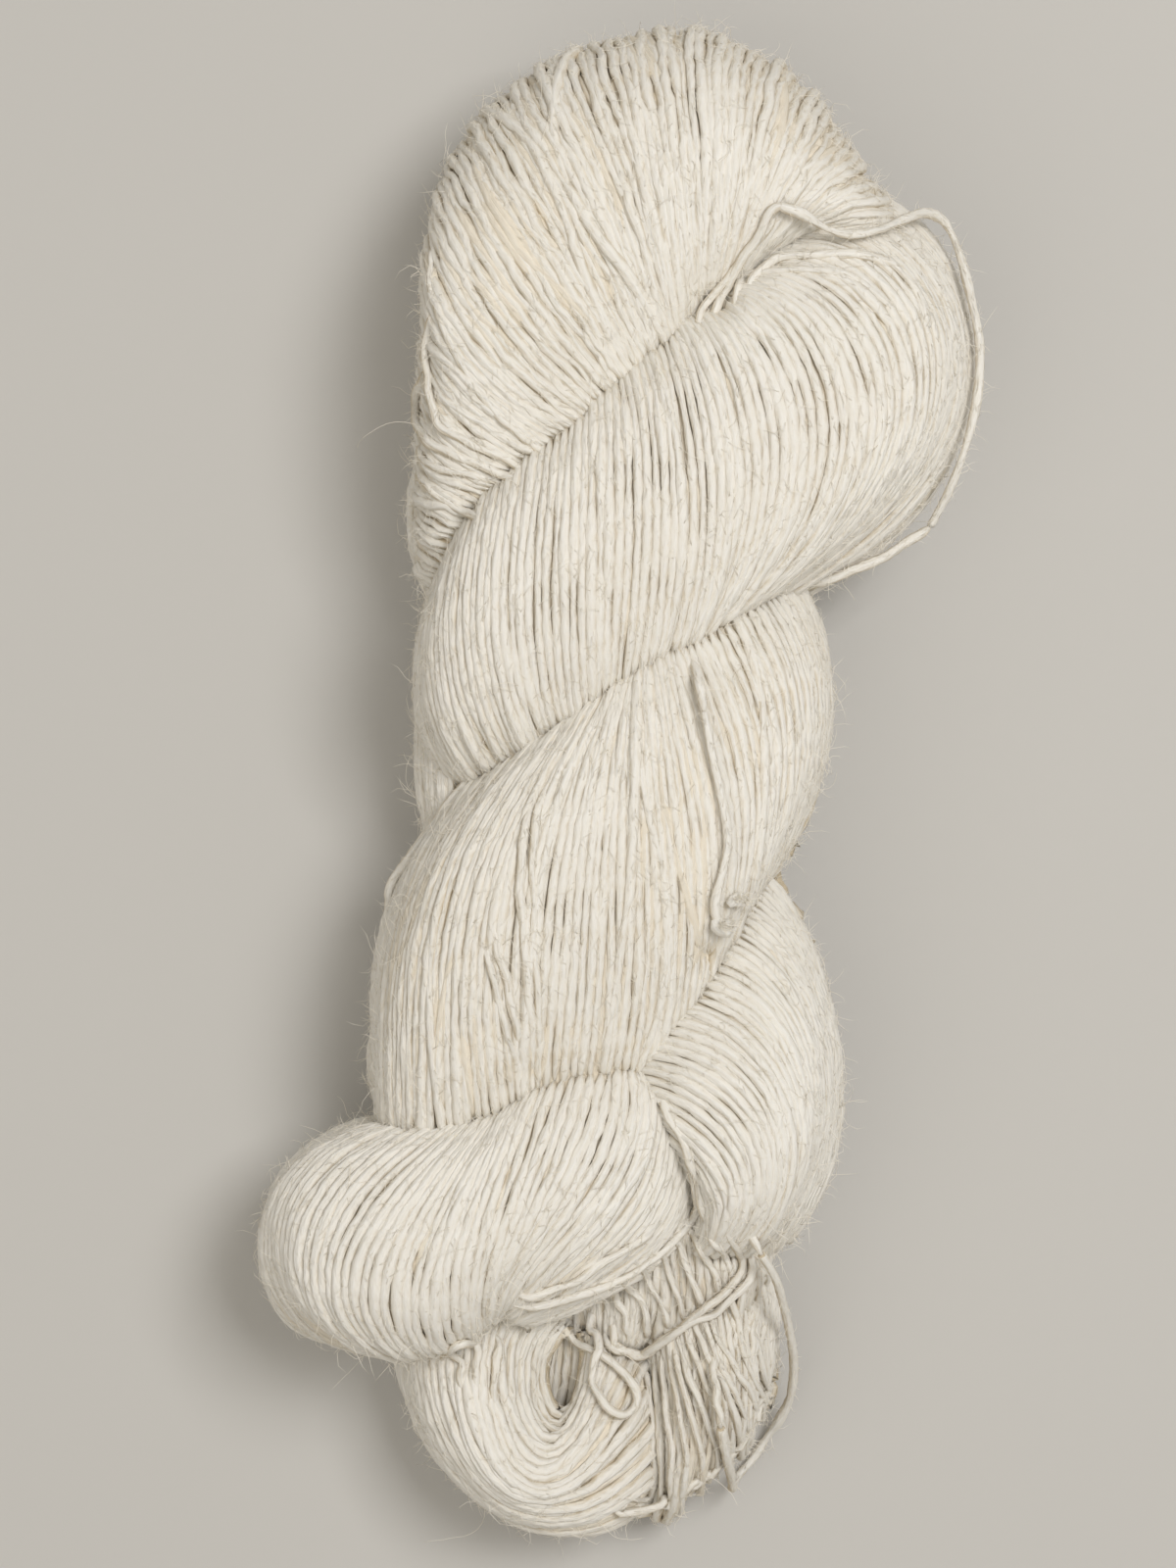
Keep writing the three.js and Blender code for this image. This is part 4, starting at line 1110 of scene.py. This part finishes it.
def fibres_object(name, paths, material):
    """One joined mesh of fine three-sided fibres that taper to a point."""
    count, rings = paths.shape[0], paths.shape[1] - 1
    radii = FIBRE_RADIUS * np.linspace(1, 0.6, rings)[None, :, None, None]
    tangent = unit(np.gradient(paths, axis=1))[:, :-1]
    one_way = unit(np.cross(tangent, np.array([0.3, 0.5, 0.8])))
    other_way = np.cross(tangent, one_way)
    turn = (2 * math.pi * np.arange(3) / 3)[None, None, :, None]
    spokes = one_way[:, :, None] * np.cos(turn) + other_way[:, :, None] * np.sin(turn)
    tubes = (paths[:, :-1, None] + radii * spokes).reshape(count, rings * 3, 3)
    points = np.concatenate([tubes, paths[:, -1:]], axis=1).reshape(-1, 3)

    start = np.arange(count) * (rings * 3 + 1)
    grids = np.meshgrid(start, np.arange(rings - 1), np.arange(3), indexing="ij")
    first, ring, k = (grid.ravel() for grid in grids)
    near, beside = first + ring * 3 + k, first + ring * 3 + (k + 1) % 3
    quads = np.stack([near, beside, beside + 3, near + 3], axis=1)
    roots = start[:, None] + np.array([2, 1, 0])
    last_ring = start[:, None, None] + (rings - 1) * 3
    sides = last_ring + np.stack([np.arange(3), (np.arange(3) + 1) % 3], axis=1)[None]
    ends = np.broadcast_to(start[:, None, None] + rings * 3, (count, 3, 1))
    tips = np.concatenate([sides, ends], axis=2).reshape(-1, 3)

    across = math.ceil(math.sqrt(count))
    cell = 1 / across
    corner = np.stack([np.arange(count) % across, np.arange(count) // across], axis=1) * cell
    which = np.repeat(np.arange(count), (rings - 1) * 3)
    low = np.stack([ring / rings, k / 3], axis=1)
    square = np.array([[0, 0], [0, 1 / 3], [1 / rings, 1 / 3], [1 / rings, 0]])
    quad_spots = corner[which][:, None] + (low[:, None] + square) * cell * 0.9
    tip = np.stack([[1 - 1 / rings, i / 3] for i in range(3)])
    tip_shape = np.stack([tip, tip + [0, 1 / 3], tip + [1 / rings, 1 / 6]], axis=1).reshape(-1, 2)
    tip_spots = (corner[:, None] + tip_shape * cell * 0.9).reshape(-1, 2)
    spots = np.vstack([quad_spots.reshape(-1, 2), np.repeat(corner, 3, axis=0), tip_spots])
    faces = quads.tolist() + roots.tolist() + tips.tolist()
    return mesh_piece(name, points, faces, {"twist": spots, "OFBake": spots}, material)


def add_fuzz(strands, lumps, rng, material):
    """The haze of fibres over the turns, the stray ones that stand off them, and long curled hairs."""
    roots = {
        "head": [s for s in strands if s["points"][:, 1].mean() > 0],
        "foot": [s for s in strands if s["points"][:, 1].mean() <= 0],
        "all": strands,
        "lumps": lumps,
    }
    layers = {name: fibre_paths(rng, roots[where], *settings) for name, (where, *settings) in FUZZ.items()}
    return [fibres_object(name, paths, material) for name, paths in layers.items()]


def add_turns(solid, wool, warm_shaded_wool, rng):
    """Add the outer and the deeper turns of every lobe, and give the outer ones back."""
    outer = []
    for name in LOBES:
        # the deeper turns take the inner wool, whose warmer colour is painted shade
        for layer, finish in (("turns", wool), ("deep_turns", warm_shaded_wool)):
            points, out, radii = wind_lobe(name, rng, LAYERS[layer])
            strands = shown_strands(points, out, radii, solid, LAYERS[layer], LAY[name][-1], rng)
            piece = strands_object(f"{name}_{layer}", strands, LAYERS[layer]["sides"], finish, rng)
            ride_as_wool(piece)
            if layer == "turns":
                outer += strands
    return outer


def main():
    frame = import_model()
    add_camera()
    rng = np.random.default_rng(SEED)
    # The outer wool's deep colour is what the painted groove shade reaches on the strands' sides
    wool = spun_wool("handspun_cream_wool", "#F4F3F0", "#EDEAE3", "#CFC2AA", sheen=0.25, groove_shade=2.6)
    # The inner wool is the same wool painted warmer: painted shade for the deeper turns and the core between
    # strands
    warm_shaded_wool = spun_wool("inner_cream_wool_painted_warm_shade", "#F1ECE1", "#ECE4D5", "#DFD3BD", sheen=0.25, groove_shade=0)
    fibre_wool = spun_wool(
        "stray_wool_fibre", "#FDFAF4", "#FAF5EA", "#F2E9D8", sheen=0.6, groove_shade=0, thick=False
    )
    hank = frame["nodes"]["hank"]
    solid = solid_tree(hank)
    core = add_core(hank, warm_shaded_wool)
    ride_as_wool(core)
    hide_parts("hank")
    strands = add_turns(solid, wool, warm_shaded_wool, rng)
    laid = laid_strands(solid, rng)
    ride_as_wool(strands_object("laid_turns", laid, LAID_SIDES, wool, rng))
    lumps = [line_strand(spline_points(points, 24), LUMP_RADIUS, rng, LUMP_TINT) for points in END_LUMPS]
    ride_as_wool(strands_object("end_lumps", lumps, LAID_SIDES, wool, rng))
    strands += laid + add_loose_strands(wool, rng)
    for piece in add_fuzz(strands, lumps, rng, fibre_wool):
        ride_as_wool(piece)
    add_studio()
    bpy.context.view_layer.update()


main()
